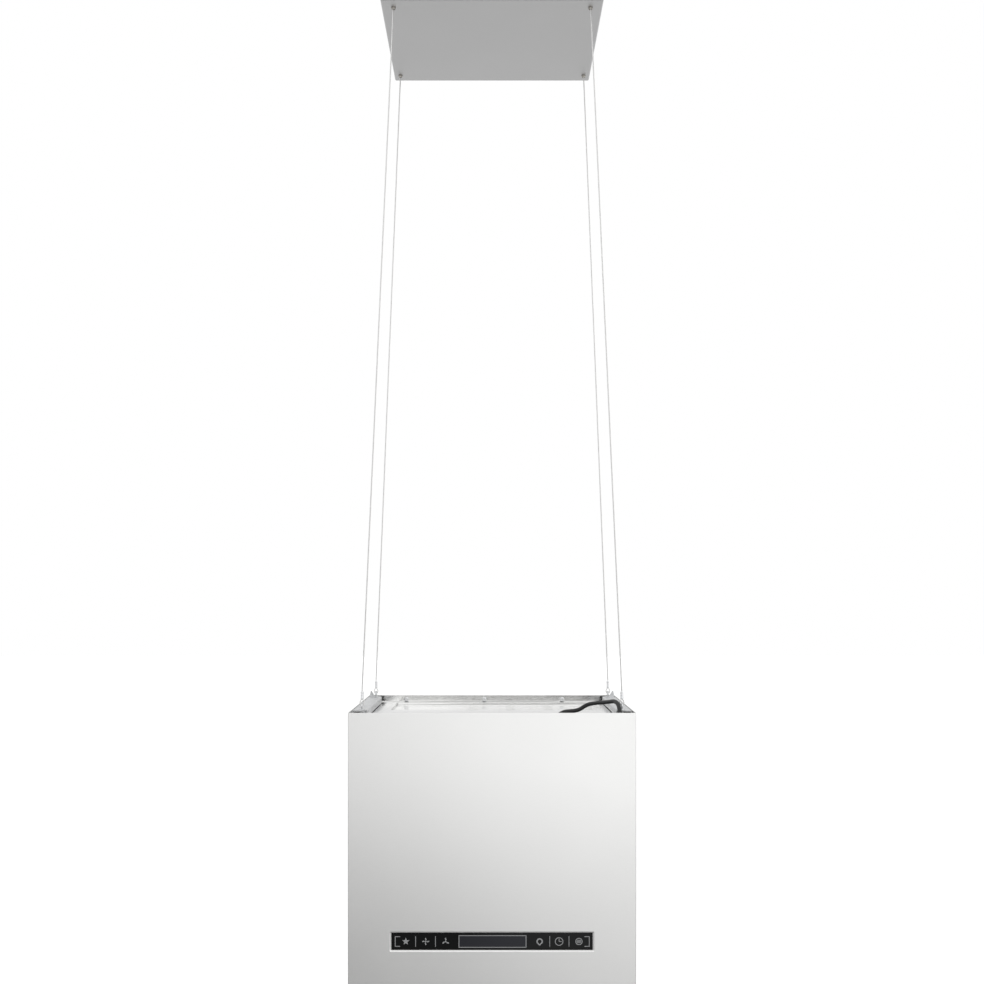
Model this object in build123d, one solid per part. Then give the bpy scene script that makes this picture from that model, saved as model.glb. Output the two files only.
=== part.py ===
from build123d import *
from math import acos, atan2, ceil, cos, degrees, pi, radians, sin, sqrt, tan
import os

# Hanging island hood in millimetres. Z = 0 is the ceiling, +Z points up, the front faces -Y.

# Driving sizes of the hood and of its place below the ceiling
hang_height = 946.0
hood_width = 370.0
hood_depth = 290.0
hood_height = 390.0
shell_sheet = 1.2
shell_corner = 1.6
inner_sheet = 1.0
fit_gap = 0.05
soft_gap = 0.3

# Ceiling fitting
cover_width = 290.0
cover_depth = 257.0
cover_height = 25.0
cover_sheet = 1.2
cover_corner = 2.0
plate_sheet = 2.0
plate_gap = 1.0
plate_window_width = 150.0
plate_window_depth = 70.0
tab_height = 14.0
tab_width = 60.0
ceiling_bolt_pitch_x = 200.0
ceiling_bolt_pitch_y = 120.0
ceiling_slot_radius = 3.25
ceiling_slot_length = 16.0
gripper_boss_radius = 7.0
gripper_boss_height = 4.0
gripper_thread_radius = 4.0
gripper_body_radius = 6.0
nozzle_radius = 2.8
nozzle_out = 3.0
wire_hole_radius = 1.6

# Suspension cables and what holds their lower ends
cable_radius = 0.9
cable_top_front_x = cover_width / 2 - 16.0
cable_top_rear_x = cover_width / 2 - 9.5
cable_top_y = cover_depth / 2 - 20.5
cable_grip_depth = 20.0
eye_x = hood_width / 2 - 14.0
eye_y = hood_depth / 2 - 45.0
eye_ring_radius = 3.6
eye_wire_radius = 1.3
eye_shank_radius = 2.5
loop_wire_radius = 0.8
loop_bend_radius = 3.0
loop_height = 8.0
ferrule_radius = 2.1
ferrule_length = 10.0

# Hanging brackets
bracket_sheet = 2.0
bracket_width = 20.0
bracket_front = -hood_depth / 2 + 37.0
bracket_rear = hood_depth / 2 - 23.0
bracket_drop = 32.0
bracket_lip = 7.0
bracket_snip = 8.0
ear_size = 9.0
ear_place = bracket_rear - 10.0
stud_radius = 2.5
stud_nut_radius = 4.6
stud_nut_height = 4.0
stud_drop = 22.0
stud_places = (-20.0, 48.0, bracket_rear - 10.0)

# Top panel, stowage tray and outlet grille
panel_drop = 10.0
flange_below_rim = 0.6
tray_right = hood_width / 2 - 9.0
tray_left = tray_right - 256.0
tray_front_gap = 6.3
tray_depth_y = 92.0
tray_floor_drop = 58.0
tray_flange = 5.0
grille_width = hood_width - 86.0
grille_depth = hood_depth - 167.0
grille_rear_gap = 15.8
grille_recess = 3.0
grille_flange = 5.0
slot_rows = 9
slot_columns = 5
slot_length = 44.0
slot_width = 4.5
rim_screw_pitch = 117.3
rim_screw_shift = -11.7
rim_screw_drop = 6.2

# Pan head screws
pan_head_radius = 3.5
pan_head_height = 2.4
pan_shank_radius = 2.0

# Countersunk screws
sunk_head_radius = 2.8
sunk_shank_radius = 1.5
sunk_length = 6.0

# Blower
blower_drop = 176.0
impeller_radius = 80.0
impeller_width = 112.0
blade_inner_radius = 66.5
blade_count = 36
blade_thickness = 1.2
blade_lead = 7.5
end_ring_inner_radius = 71.0
end_ring_width = 2.5
hub_radius = 12.0
hub_length = 20.0
disc_thickness = 2.0
shaft_radius = 4.0
scroll_clearance = 12.0
scroll_growth = 9.0
scroll_width = 126.0
scroll_sheet = 1.2
scroll_rim = 5.0
scroll_top = 96.0
scroll_lip = 10.0
tongue_y = 18.0
tongue_radius = 6.0
throat_radius = 64.4
bell_radius = 9.0
ring_sheet = 1.2
ring_flange_radius = 92.0
collar_radius = 87.2
collar_length = 9.6
motor_radius = 44.0
motor_length = 54.0
motor_round = 6.0
bearing_radius = 11.0
bearing_width = 7.0
arm_count = 3
arm_width = 12.0
arm_sheet = 2.0
arm_reach = 84.0
motor_screw_circle = 30.0
arm_screw_circle = 79.0

# Outlet diffuser
diffuser_gap = 1.0
diffuser_sheet = 1.2
diffuser_collar = 5.0
diffuser_flange = 7.4

# Carbon filters
carbon_radius = 93.0
carbon_thickness = 31.0
carbon_skirt = 8.0
carbon_wall = 2.0
lug_radius = 89.2
lug_width = 3.0
lug_angle = 10.0
twist_angle = 20.0
carbon_spokes = 8

# Bottom panel and grease filter
bottom_flange = 10.0
bottom_edge = 14.0
filter_width = hood_width - 131.0
filter_depth = hood_depth - 51.0
filter_gap = 1.5
filter_height = 9.0
filter_rail = 12.0
filter_sheet = 1.0
hinge_rod_radius = 1.5
hinge_rod_inset = 3.5
hook_width = 24.0
hook_wall = 1.4
hook_pitch = filter_width - 99.0
mesh_rows = 10
mesh_sheet = 0.8
mesh_web = 2.6

# Latch of the grease filter
latch_travel = 5.0
latch_width = 24.0
latch_length = 15.0
latch_thickness = 3.0
tongue_width = 16.0
tongue_reach = 3.5
latch_wall = 1.2
latch_lift = 1.0
spring_radius = 1.3
spring_wire = 0.25
spring_turns = 3

# Lamps
lamp_bezel_radius = 25.0
lamp_x = filter_width / 2 + lamp_bezel_radius + 3.0
lamp_bezel_height = 1.0
lamp_hole_radius = 21.5
lamp_lens_radius = 17.0
lamp_body_height = 20.0
lamp_fins = 10

# Control panel in the front
control_drop = 293.0
control_width = 258.0
control_height = 22.0
control_recess = 4.5
control_corner = 1.2
glass_gap = 0.3
glass_thickness = 3.0
display_width = 86.5
display_height = 15.0
display_depth = 4.0
board_gap = 0.6
board_thickness = 1.6
board_height = 26.0
housing_wall = 1.8
housing_depth = 16.0
housing_height = 34.0
housing_ear = 14.0

# Power box under the stowage tray
power_width = 120.0
power_depth = 66.0
power_height = 32.0
power_wall = 2.0
power_front_gap = 14.0

# Mains lead, its gland, coil, tie and plug
cord_radius = 2.75
gland_x = tray_right - 9.0
gland_y = -hood_depth / 2 + 23.0
gland_height = 28.0
gland_thread_radius = 6.0
gland_flange_radius = 8.8
gland_nut_radius = 8.6
coil_x = tray_right - 161.5
coil_inner_radius = 20.8
coil_pitch = 7.1
coil_layer = 7.0
coil_half_turns = 6
coil_tail = 18.0
tie_sheet = 1.0
tie_width = 4.0
tie_gap = 0.5
plug_radius = 18.5
plug_height = 24.0
plug_boot = 22.0
pin_radius = 2.4
pin_length = 19.0
pin_pitch = 19.0

# Places worked out from the sizes above
rim = -hang_height
base = rim - hood_height
half_width = hood_width / 2
half_depth = hood_depth / 2
inner_x = half_width - shell_sheet
inner_y = half_depth - shell_sheet
panel_top = rim - panel_drop
panel_under = panel_top - inner_sheet
tray_front = tray_front_gap - inner_y
tray_rear = tray_front + tray_depth_y
tray_floor = rim - tray_floor_drop
axis_z = rim - blower_drop
side_x = scroll_width / 2 + scroll_sheet
ring_x = side_x + ring_sheet
outlet_z = axis_z + scroll_top


def block(x0, x1, y0, y1, z0, z1):
    """Box between two corners."""
    size = Box(x1 - x0, y1 - y0, z1 - z0)
    return Pos((x0 + x1) / 2, (y0 + y1) / 2, (z0 + z1) / 2) * size


def post(radius, x, y, z0, z1):
    """Upright cylinder between two heights."""
    return Pos(x, y, (z0 + z1) / 2) * Cylinder(radius, z1 - z0)


def rod_x(radius, x0, x1, y=0.0, z=axis_z):
    """Cylinder along X between two places."""
    return Pos((x0 + x1) / 2, y, z) * Rot(0, 90, 0) * Cylinder(radius, abs(x1 - x0))


def turned_x(face):
    """Revolves a profile of axial place and radius about the blower's axis."""
    turned = revolve(face, Axis.X)
    return Pos(0, 0, axis_z) * turned


def mirrored(part):
    """The same piece on the other side."""
    return mirror(part, Plane.YZ)


def group(pieces):
    """Separate solids that share one node."""
    return Compound(children=list(pieces))


def corners(x, y):
    """The four corners of a rectangle about the middle."""
    return [(sx * x, sy * y) for sy in (-1, 1) for sx in (-1, 1)]


def pan_screw(length):
    """Pan head screw, its head seat at the origin and its shank along -Z."""
    head = Pos(0, 0, pan_head_height / 2) * Cylinder(pan_head_radius, pan_head_height)
    top = head.edges().sort_by(Axis.Z)[-1]
    head = fillet(top, pan_head_height * 0.6)
    shank = Pos(0, 0, -length / 2) * Cylinder(pan_shank_radius, length)
    return head + shank


def sunk_screw(sheet):
    """Countersunk screw, flush at the origin and with its shank along -Z."""
    head = Pos(0, 0, -sheet / 2) * Cone(sunk_shank_radius, sunk_head_radius, sheet)
    shank = Pos(0, 0, -sunk_length / 2) * Cylinder(sunk_shank_radius, sunk_length)
    return head + shank


def sunk_hole(sheet):
    """Hole for a countersunk screw through a sheet, a fit gap wider."""
    small = sunk_shank_radius + fit_gap
    wide = sunk_head_radius + fit_gap
    return Pos(0, 0, -sheet / 2) * Cone(small, wide, sheet) + Cylinder(small, 3 * sunk_length)


def hex_nut(radius, height, bore):
    """Hexagon nut that stands on the origin."""
    body = extrude(RegularPolygon(radius, 6), height)
    return body - Pos(0, 0, height / 2) * Cylinder(bore, height)


# Ceiling fitting

cable_tops = [
    (sx * (cable_top_front_x if sy < 0 else cable_top_rear_x), sy * cable_top_y)
    for sy in (-1, 1)
    for sx in (-1, 1)
]


def ceiling_plate():
    edge_x = cover_width / 2 - cover_sheet
    edge_y = cover_depth / 2 - cover_sheet - plate_gap
    plate = block(-edge_x + plate_gap, edge_x - plate_gap, -edge_y, edge_y, -plate_sheet, 0)
    for side in (-1, 1):
        tab = block(edge_x - plate_sheet, edge_x, -tab_width / 2, tab_width / 2, -tab_height, 0)
        plate += tab if side > 0 else mirrored(tab)
    for x, y in cable_tops:
        plate += post(gripper_boss_radius, x, y, -plate_sheet - gripper_boss_height, -plate_sheet)
    for x, y in cable_tops:
        depth = plate_sheet + gripper_boss_height
        plate -= post(gripper_thread_radius + fit_gap, x, y, -depth, 0)
    slot = extrude(SlotOverall(ceiling_slot_length, 2 * ceiling_slot_radius), 2 * plate_sheet)
    for x, y in corners(ceiling_bolt_pitch_x / 2, ceiling_bolt_pitch_y / 2):
        plate -= Pos(x, y, -1.5 * plate_sheet) * slot
    window = RectangleRounded(plate_window_width, plate_window_depth, 5)
    plate -= Pos(0, 0, -1.5 * plate_sheet) * extrude(window, 2 * plate_sheet)
    for place in cover_screw_places():
        plate -= place * sunk_hole(cover_sheet)
    return plate


def cover_screw_places():
    """Where the four countersunk screws sit in the cover's short sides."""
    places = []
    for x, y in corners(cover_width / 2, tab_width / 3):
        turn = 90 if x > 0 else -90
        places.append(Pos(x, y, -tab_height * 0.6) * Rot(0, turn, 0))
    return places


def ceiling_cover():
    outline = RectangleRounded(cover_width, cover_depth, cover_corner)
    body = Pos(0, 0, -cover_height) * extrude(outline, cover_height)
    body = fillet(body.faces().sort_by(Axis.Z)[0].edges(), cover_corner * 0.9)
    hollow = RectangleRounded(
        cover_width - 2 * cover_sheet, cover_depth - 2 * cover_sheet, cover_corner - cover_sheet * 0.8
    )
    body -= Pos(0, 0, cover_sheet - cover_height) * extrude(hollow, cover_height)
    for x, y in cable_tops:
        body -= post(nozzle_radius + soft_gap, x, y, -cover_height - cover_sheet, -cover_height + 2 * cover_sheet)
    for place in cover_screw_places():
        body -= place * sunk_hole(cover_sheet)
    return body


def cable_gripper():
    """Gripper whose nozzle looks out of the cover, its axis on the origin."""
    shoulder = -plate_sheet - gripper_boss_height
    waist = -cover_height + 4 * cover_sheet
    tip = -cover_height - nozzle_out
    body = post(gripper_thread_radius, 0, 0, shoulder, -plate_sheet)
    barrel = post(gripper_body_radius, 0, 0, waist, shoulder)
    barrel = chamfer(barrel.edges().filter_by(GeomType.CIRCLE), 0.8)
    nozzle = post(nozzle_radius, 0, 0, tip, waist)
    body += barrel + nozzle
    body -= post(wire_hole_radius, 0, 0, tip, -cable_grip_depth + 1.5)
    return body


# Suspension cables

ring_centre = rim + eye_ring_radius + eye_wire_radius
loop_bottom = ring_centre + eye_ring_radius - eye_wire_radius - soft_gap - loop_wire_radius
ferrule_bottom = loop_bottom + loop_height
cable_bottom = ferrule_bottom + ferrule_length + soft_gap


def suspension_cable(top, foot):
    start = Vector(top[0], top[1], -cable_grip_depth)
    end = Vector(foot[0], foot[1], cable_bottom)
    line = Line(start, end)
    return sweep(Plane(start, z_dir=end - start) * Circle(cable_radius), line)


def cable_loop():
    """End loop in the XZ plane, its lowest point on the origin's axis."""
    centre = loop_bend_radius
    half_exit = loop_wire_radius + fit_gap
    reach = sqrt(half_exit**2 + (loop_height - centre) ** 2)
    lean = atan2(loop_height - centre, half_exit) - acos(loop_bend_radius / reach)
    side = loop_bend_radius * cos(lean)
    rise = centre + loop_bend_radius * sin(lean)
    path = Wire(
        [
            Line((-half_exit, 0, loop_height), (-side, 0, rise)),
            ThreePointArc((-side, 0, rise), (0, 0, 0), (side, 0, rise)),
            Line((side, 0, rise), (half_exit, 0, loop_height)),
        ]
    )
    start = Plane((-half_exit, 0, loop_height), z_dir=path % 0)
    tube = sweep(start * Circle(loop_wire_radius), path)
    return tube - block(-5, 5, -5, 5, loop_height - fit_gap, loop_height + 2)


def cable_eye():
    """Eye bolt, its ring in the YZ plane and its shoulder on the rim."""
    ring = Pos(0, 0, ring_centre - rim) * Rot(0, 90, 0) * Torus(eye_ring_radius, eye_wire_radius)
    shank_top = eye_wire_radius
    shank_end = -bracket_sheet - stud_nut_height - 1.0
    shank = post(eye_shank_radius, 0, 0, shank_end, shank_top)
    return ring + shank


def ferrule():
    body = post(ferrule_radius, 0, 0, 0, ferrule_length)
    return fillet(body.edges().filter_by(GeomType.CIRCLE), 0.7)


eye_places = corners(eye_x, eye_y)


# Housing

def stud_points():
    """Places of the weld studs on one side wall."""
    return [(inner_x, y, rim - stud_drop) for y in stud_places]


def control_stud_points():
    reach = control_width / 2 + shell_sheet + housing_ear / 2
    return [(side * reach, -inner_y, rim - control_drop) for side in (-1, 1)]


def outer_shell():
    outline = RectangleRounded(hood_width, hood_depth, shell_corner)
    hollow = RectangleRounded(2 * inner_x, 2 * inner_y, shell_corner - shell_sheet)
    shell = Pos(0, 0, base) * extrude(outline - hollow, hood_height)
    mouth = Rectangle(2 * (inner_x - bottom_flange), 2 * (inner_y - bottom_flange))
    shell += Pos(0, 0, base) * extrude(RectangleRounded(2 * inner_x, 2 * inner_y, 0.3) - mouth, shell_sheet)
    # cut-out of the control panel with its turned-in collar
    front = Plane.XZ.offset(half_depth)
    centre = Pos(0, 0, rim - control_drop)
    depth = control_recess + glass_thickness
    opening = RectangleRounded(control_width, control_height, control_corner)
    collar = RectangleRounded(
        control_width + 2 * shell_sheet, control_height + 2 * shell_sheet, control_corner + shell_sheet
    )
    shell += centre * extrude(front * collar, -depth)
    shell -= centre * extrude(front * opening, -depth)
    for x, y, z in stud_points():
        reach = bracket_sheet + stud_nut_height
        stud = rod_x(stud_radius, x - reach, x, y, z)
        shell += stud
        shell += mirrored(stud)
    for x, y, z in control_stud_points():
        length = depth - shell_sheet + housing_wall + stud_nut_height
        shell += Pos(x, y + length / 2, z) * Rot(90, 0, 0) * Cylinder(stud_radius, length)
    for x in rim_screw_xs():
        shell -= Pos(x, inner_y, rim - rim_screw_drop) * Rot(90, 0, 0) * Cylinder(
            pan_shank_radius + fit_gap, 1.8
        )
    for place in bottom_screw_places():
        shell -= place * sunk_hole(shell_sheet)
    return shell


def rim_screw_xs():
    return [rim_screw_shift + k * rim_screw_pitch for k in (-1, 0, 1)]


def bottom_screw_places():
    x = inner_x - bottom_flange / 2
    y = inner_y * 0.7
    return [Pos(sx * x, sy * y, base) * Rot(180, 0, 0) for sx in (-1, 1) for sy in (-1, 0, 1)]


def top_panel():
    edge_x = inner_x - bracket_sheet
    sheet = block(-edge_x, edge_x, -inner_y, inner_y, panel_under, panel_top)
    lip_top = rim - flange_below_rim
    sheet += block(-edge_x, edge_x, inner_y - inner_sheet, inner_y, panel_under, lip_top)
    sheet += block(-edge_x, edge_x, -inner_y, inner_sheet - inner_y, panel_under, lip_top)
    sheet -= block(tray_left, tray_right, tray_front, tray_rear, panel_under, panel_top)
    grille_rear = inner_y - grille_rear_gap
    sheet -= block(
        -grille_width / 2, grille_width / 2, grille_rear - grille_depth, grille_rear, panel_under, panel_top
    )
    for x in rim_screw_xs():
        hole = Cylinder(pan_shank_radius + fit_gap, 2 * inner_sheet)
        sheet -= Pos(x, inner_y - inner_sheet, rim - rim_screw_drop) * Rot(90, 0, 0) * hole
    for x, y in diffuser_screw_tops():
        sheet -= post(pan_shank_radius + fit_gap, x, y, panel_under, panel_top - 0.2)
    return sheet


def wiring_tray():
    t = inner_sheet
    body = block(tray_left - t, tray_right + t, tray_front - t, tray_rear + t, tray_floor - t, panel_under)
    flange = tray_flange + t
    rear_flange = block(
        tray_left - flange, tray_right + flange - t, tray_front - flange + t, tray_rear + flange,
        panel_under - t, panel_under,
    )
    body += rear_flange
    body -= block(tray_left, tray_right, tray_front, tray_rear, tray_floor, panel_under)
    body -= post(gland_thread_radius + fit_gap, gland_x, gland_y, tray_floor - 2 * t, tray_floor + t)
    return body


def outlet_grille():
    t = inner_sheet
    w = grille_width / 2
    rear = inner_y - grille_rear_gap
    front = rear - grille_depth
    floor = panel_top - grille_recess
    body = block(-w - t, w + t, front - t, rear + t, floor - t, panel_under)
    reach = grille_flange + t
    body += block(-w - reach, w + reach, front - reach, rear + reach, panel_under - t, panel_under)
    body -= block(-w, w, front, rear, floor, panel_under)
    slots = Sketch()
    pitch_x = grille_width / (slot_columns + 0.25)
    pitch_y = grille_depth / (slot_rows + 0.5)
    for row in range(slot_rows):
        for column in range(slot_columns):
            x = (column - (slot_columns - 1) / 2) * pitch_x
            y = (row - (slot_rows - 1) / 2) * pitch_y
            slots += Pos(x, y) * SlotOverall(min(slot_length, pitch_x * 0.9), slot_width)
    cutter = extrude(slots, 3 * t)
    return body - Pos(0, (front + rear) / 2, floor - 2 * t) * cutter


def hanging_bracket():
    """Right-hand bracket: a web on the rim, a leg on the shell's wall and a lip inside."""
    t = bracket_sheet
    inside = inner_x - bracket_width
    body = block(inner_x - t, inner_x, bracket_front, bracket_rear, rim - bracket_drop, rim)
    web = block(inside, inner_x - t, bracket_front, bracket_rear, rim - t, rim)
    snips = web.edges().filter_by(Axis.Z).sort_by(Axis.X)[:2]
    web = chamfer(snips, bracket_snip)
    body += web
    body += block(
        inside, inside + t, bracket_front + bracket_snip, bracket_rear - bracket_snip,
        rim - t - bracket_lip, rim - t,
    )
    ear = Polyline((0, 0), (ear_size, 0), (ear_size * 0.75, ear_size), (0, 0))
    ear = extrude(Plane.XZ * make_face(ear), t)
    body += Pos(inner_x - t - ear_size, ear_place, rim) * ear
    for x, y, z in stud_points():
        body -= rod_x(stud_radius + fit_gap, x - 2 * t, x, y, z)
    for x, y in eye_places:
        if x > 0:
            body -= post(eye_shank_radius + fit_gap, x, y, rim - 2 * t, rim)
    return body


def bottom_panel():
    floor = base + shell_sheet
    t = inner_sheet
    outline = RectangleRounded(2 * inner_x, 2 * inner_y, shell_corner)
    body = Pos(0, 0, floor) * extrude(outline, bottom_edge)
    body -= block(-inner_x + t, inner_x - t, -inner_y, inner_y, floor + t, floor + bottom_edge)
    half_x = filter_width / 2 + filter_gap
    half_y = filter_depth / 2 + filter_gap
    stiffener = bottom_edge / 2
    for side in (-1, 1):
        rib = block(half_x, half_x + t, -half_y, half_y, floor, floor + stiffener)
        body += rib if side > 0 else mirrored(rib)
    body -= block(-half_x, half_x, -half_y, half_y, floor, floor + bottom_edge)
    # notches for the filter's hooks, bridged by the rod that they hang on
    for side in (-1, 1):
        x = side * hook_pitch / 2
        reach = hook_width / 2 + 2 * soft_gap
        body -= block(x - reach, x + reach, half_y - 1, half_y + 2 * hinge_rod_inset, floor, floor + t)
    rod_reach = hook_pitch / 2 + hook_width
    body += rod_x(hinge_rod_radius, -rod_reach, rod_reach, hinge_y, hinge_z)
    for side in (-1, 1):
        body -= post(lamp_hole_radius + fit_gap, side * lamp_x, 0, floor, floor + t)
    for place in bottom_screw_places():
        body -= place * Cylinder(sunk_shank_radius + fit_gap, 4 * shell_sheet)
    return body


# Blower

def scroll_face():
    """Inside outline of the spiral in the YZ plane, about the blower's axis."""
    a = scroll_growth
    r1 = impeller_radius + scroll_clearance
    r2 = r1 + a
    r3 = r2 + a
    c1 = (-a / 2, -a / 2)
    c2 = (a / 2, -a / 2)
    c3 = (a / 2, a / 2)
    start = degrees(acos((tongue_y - c1[0]) / r1))
    tongue_z = c1[1] + r1 * sin(radians(start))
    wall_y = c3[0] + r3
    edges = [
        Line((tongue_y, scroll_top), (tongue_y, tongue_z)),
        CenterArc(c1, r1, start, 180 - start),
        CenterArc(c2, r2, 180, 90),
        CenterArc(c3, r3, 270, 90),
        Line((wall_y, c3[1]), (wall_y, scroll_top)),
        Line((wall_y, scroll_top), (tongue_y, scroll_top)),
    ]
    face = make_face(edges)
    nose = face.vertices().sort_by(lambda v: (v.X - tongue_y) ** 2 + (v.Y - tongue_z) ** 2)[0]
    return fillet(nose, tongue_radius)


scroll_wall_y = scroll_growth / 2 + impeller_radius + scroll_clearance + 2 * scroll_growth


def across(face, x0, x1):
    """Extrudes a YZ outline about the blower's axis from one X to another."""
    return Pos(x0, 0, axis_z) * extrude(Plane.YZ * face, x1 - x0)


def below_outlet():
    reach = 2 * impeller_radius
    return block(-reach, reach, -reach, reach, outlet_z, outlet_z + reach)


def scroll_wrap():
    inside = scroll_face()
    outside = offset(inside, scroll_sheet)
    wrap = across(outside, -scroll_width / 2, scroll_width / 2)
    wrap -= across(inside, -scroll_width / 2, scroll_width / 2)
    return wrap - below_outlet()


def scroll_side():
    """Right-hand side plate with its rolled rim, inlet hole and outlet lip."""
    plate = across(offset(scroll_face(), scroll_rim), scroll_width / 2, side_x)
    plate -= below_outlet()
    plate -= rod_x(throat_radius + bell_radius + 1.1, scroll_width / 2, side_x)
    plate += block(
        side_x, side_x + scroll_lip, tongue_y, scroll_wall_y, outlet_z - scroll_sheet, outlet_z
    )
    for place in lip_screw_points():
        if place[0] > 0:
            plate -= post(pan_shank_radius + fit_gap, place[0], place[1], outlet_z - 4, outlet_z)
    for angle in arm_angles():
        y = arm_screw_circle * cos(angle)
        z = axis_z + arm_screw_circle * sin(angle)
        plate -= rod_x(pan_shank_radius + fit_gap, scroll_width / 2, side_x, y, z)
    return plate


def arm_angles():
    return [radians(90 + k * 360 / arm_count) for k in range(arm_count)]


def inlet_ring():
    """Right-hand bell mouth with the collar and lugs that take a carbon filter."""
    bend = side_x + ring_sheet / 2 - bell_radius
    bend_r = throat_radius + ring_sheet / 2 + bell_radius
    big = bell_radius + ring_sheet / 2
    small = bell_radius - ring_sheet / 2
    throat_x = impeller_width / 2 + 1.0
    collar_in = collar_radius - ring_sheet
    diag = sqrt(0.5)
    edges = [
        Polyline(
            (side_x, bend_r), (side_x, ring_flange_radius), (ring_x, ring_flange_radius),
            (ring_x, collar_radius), (ring_x + collar_length, collar_radius),
            (ring_x + collar_length, collar_in), (ring_x, collar_in), (ring_x, bend_r),
        ),
        ThreePointArc(
            (ring_x, bend_r), (bend + big * diag, bend_r - big * diag), (bend, bend_r - big)
        ),
        Polyline(
            (bend, throat_radius), (min(throat_x, bend - 0.2), throat_radius),
            (min(throat_x, bend - 0.2), throat_radius + ring_sheet), (bend, throat_radius + ring_sheet),
        ),
        ThreePointArc(
            (bend, bend_r - small), (bend + small * diag, bend_r - small * diag), (side_x, bend_r)
        ),
    ]
    ring = turned_x(make_face(edges))
    lug = Rectangle(lug_width, lug_radius - collar_radius + 1, align=(Align.MIN, Align.MAX))
    lug = Pos(ring_x + collar_length - lug_width - 1, lug_radius) * lug
    lug = revolve(lug, Axis.X, lug_angle)
    for k in range(arm_count):
        ring += Pos(0, 0, axis_z) * Rot(30 + k * 360 / arm_count, 0, 0) * lug
    for angle in arm_angles():
        y = arm_screw_circle * cos(angle)
        z = axis_z + arm_screw_circle * sin(angle)
        ring -= rod_x(pan_shank_radius + fit_gap, side_x, ring_x, y, z)
    return ring


def blade_face():
    """Forward-curved blade section about the shaft."""
    r0 = blade_inner_radius
    r1 = impeller_radius
    rm = (r0 + r1) / 2
    lead = radians(blade_lead)

    def at(radius, angle):
        return (radius * cos(angle), radius * sin(angle))

    thick = blade_thickness / rm
    mid = lead * 0.22
    return make_face(
        [
            ThreePointArc(at(r0, 0), at(rm, mid), at(r1, lead)),
            Line(at(r1, lead), at(r1, lead + thick)),
            ThreePointArc(at(r1, lead + thick), at(rm, mid + thick), at(r0, thick)),
            Line(at(r0, thick), at(r0, 0)),
        ]
    )


def impeller_blades():
    """Separate blades that stand between the two end rings."""
    half = impeller_width / 2 - end_ring_width
    blade = across(blade_face(), -half, half)
    axle = Axis((0, 0, axis_z), (1, 0, 0))
    return group(blade.rotate(axle, k * 360 / blade_count) for k in range(blade_count))


def impeller_rings():
    """End rings that the blades are riveted to."""
    half = impeller_width / 2
    ring = Circle(impeller_radius + 1.0) - Circle(end_ring_inner_radius)
    spots = (-half, half - end_ring_width)
    return group(across(ring, x, x + end_ring_width) for x in spots)


def impeller_disc():
    """Disc and hub, the disc notched for the blades."""
    half = disc_thickness / 2
    bore = Circle(shaft_radius + fit_gap)
    notches = Sketch() + [Rot(0, 0, k * 360 / blade_count) * blade_face() for k in range(blade_count)]
    disc = across(Circle(impeller_radius - 4) - notches - Circle(hub_radius), -half, half)
    hub = across(Circle(hub_radius) - bore, -half, hub_length)
    return group([disc, hub])


motor_outer = -ring_x
motor_inner = motor_outer + motor_length


def motor_body():
    can = rod_x(motor_radius, motor_outer, motor_inner)
    can = fillet(can.edges().filter_by(GeomType.CIRCLE), motor_round)
    can -= rod_x(shaft_radius + 4 * fit_gap, motor_outer, motor_inner)
    for x in (motor_outer, motor_inner - bearing_width):
        can -= rod_x(bearing_radius + fit_gap, x, x + bearing_width)
    for y, z in motor_screw_points():
        can -= rod_x(pan_shank_radius + fit_gap, motor_outer, motor_outer + 8, y, z)
    return can


def motor_screw_points():
    r = motor_screw_circle
    return [(r * cos(a), axis_z + r * sin(a)) for a in arm_angles()]


def shaft_bearings():
    ring = Circle(bearing_radius) - Circle(shaft_radius + fit_gap)
    spots = (motor_outer, motor_inner - bearing_width)
    return group(across(ring, x, x + bearing_width) for x in spots)


def motor_shaft():
    shaft = rod_x(shaft_radius, motor_outer + soft_gap, hub_length + 0.5)
    return chamfer(shaft.edges().filter_by(GeomType.CIRCLE), 0.5)


def motor_bracket():
    spider = Circle(motor_radius * 0.9) - Circle(motor_radius * 0.45)
    for angle in arm_angles():
        arm = Pos((arm_reach + motor_radius * 0.6) / 2, 0) * Rectangle(
            arm_reach - motor_radius * 0.6, arm_width
        )
        spider += Rot(0, 0, degrees(angle)) * arm
    plate = across(spider, motor_outer - arm_sheet, motor_outer)
    for radius in (motor_screw_circle, arm_screw_circle):
        for angle in arm_angles():
            y = radius * cos(angle)
            z = axis_z + radius * sin(angle)
            plate -= rod_x(pan_shank_radius + fit_gap, motor_outer - arm_sheet, motor_outer, y, z)
    return plate


def motor_screws():
    pieces = []
    lengths = ((motor_screw_circle, 7.0), (arm_screw_circle, arm_sheet + ring_sheet + scroll_sheet + 1))
    for radius, length in lengths:
        for angle in arm_angles():
            y = radius * cos(angle)
            z = axis_z + radius * sin(angle)
            pieces.append(Pos(motor_outer - arm_sheet, y, z) * Rot(0, -90, 0) * pan_screw(length))
    return group(pieces)


# Outlet diffuser

diffuser_width = grille_width + 2 * (grille_flange + inner_sheet + diffuser_gap)
diffuser_depth = grille_depth + 2 * (grille_flange + inner_sheet + diffuser_gap)
diffuser_centre_y = inner_y - grille_rear_gap - grille_depth / 2
neck_centre_y = (tongue_y + scroll_wall_y) / 2
neck_depth = scroll_wall_y - tongue_y


def lip_screw_points():
    x = side_x + scroll_lip / 2
    return [(sx * x, neck_centre_y + sy * neck_depth / 3) for sx in (-1, 1) for sy in (-1, 1)]


def diffuser_screw_tops():
    x = diffuser_width / 2 + diffuser_sheet + diffuser_flange / 2
    return [(sx * x, diffuser_centre_y + sy * diffuser_depth / 3) for sx in (-1, 1) for sy in (-1, 1)]


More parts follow.
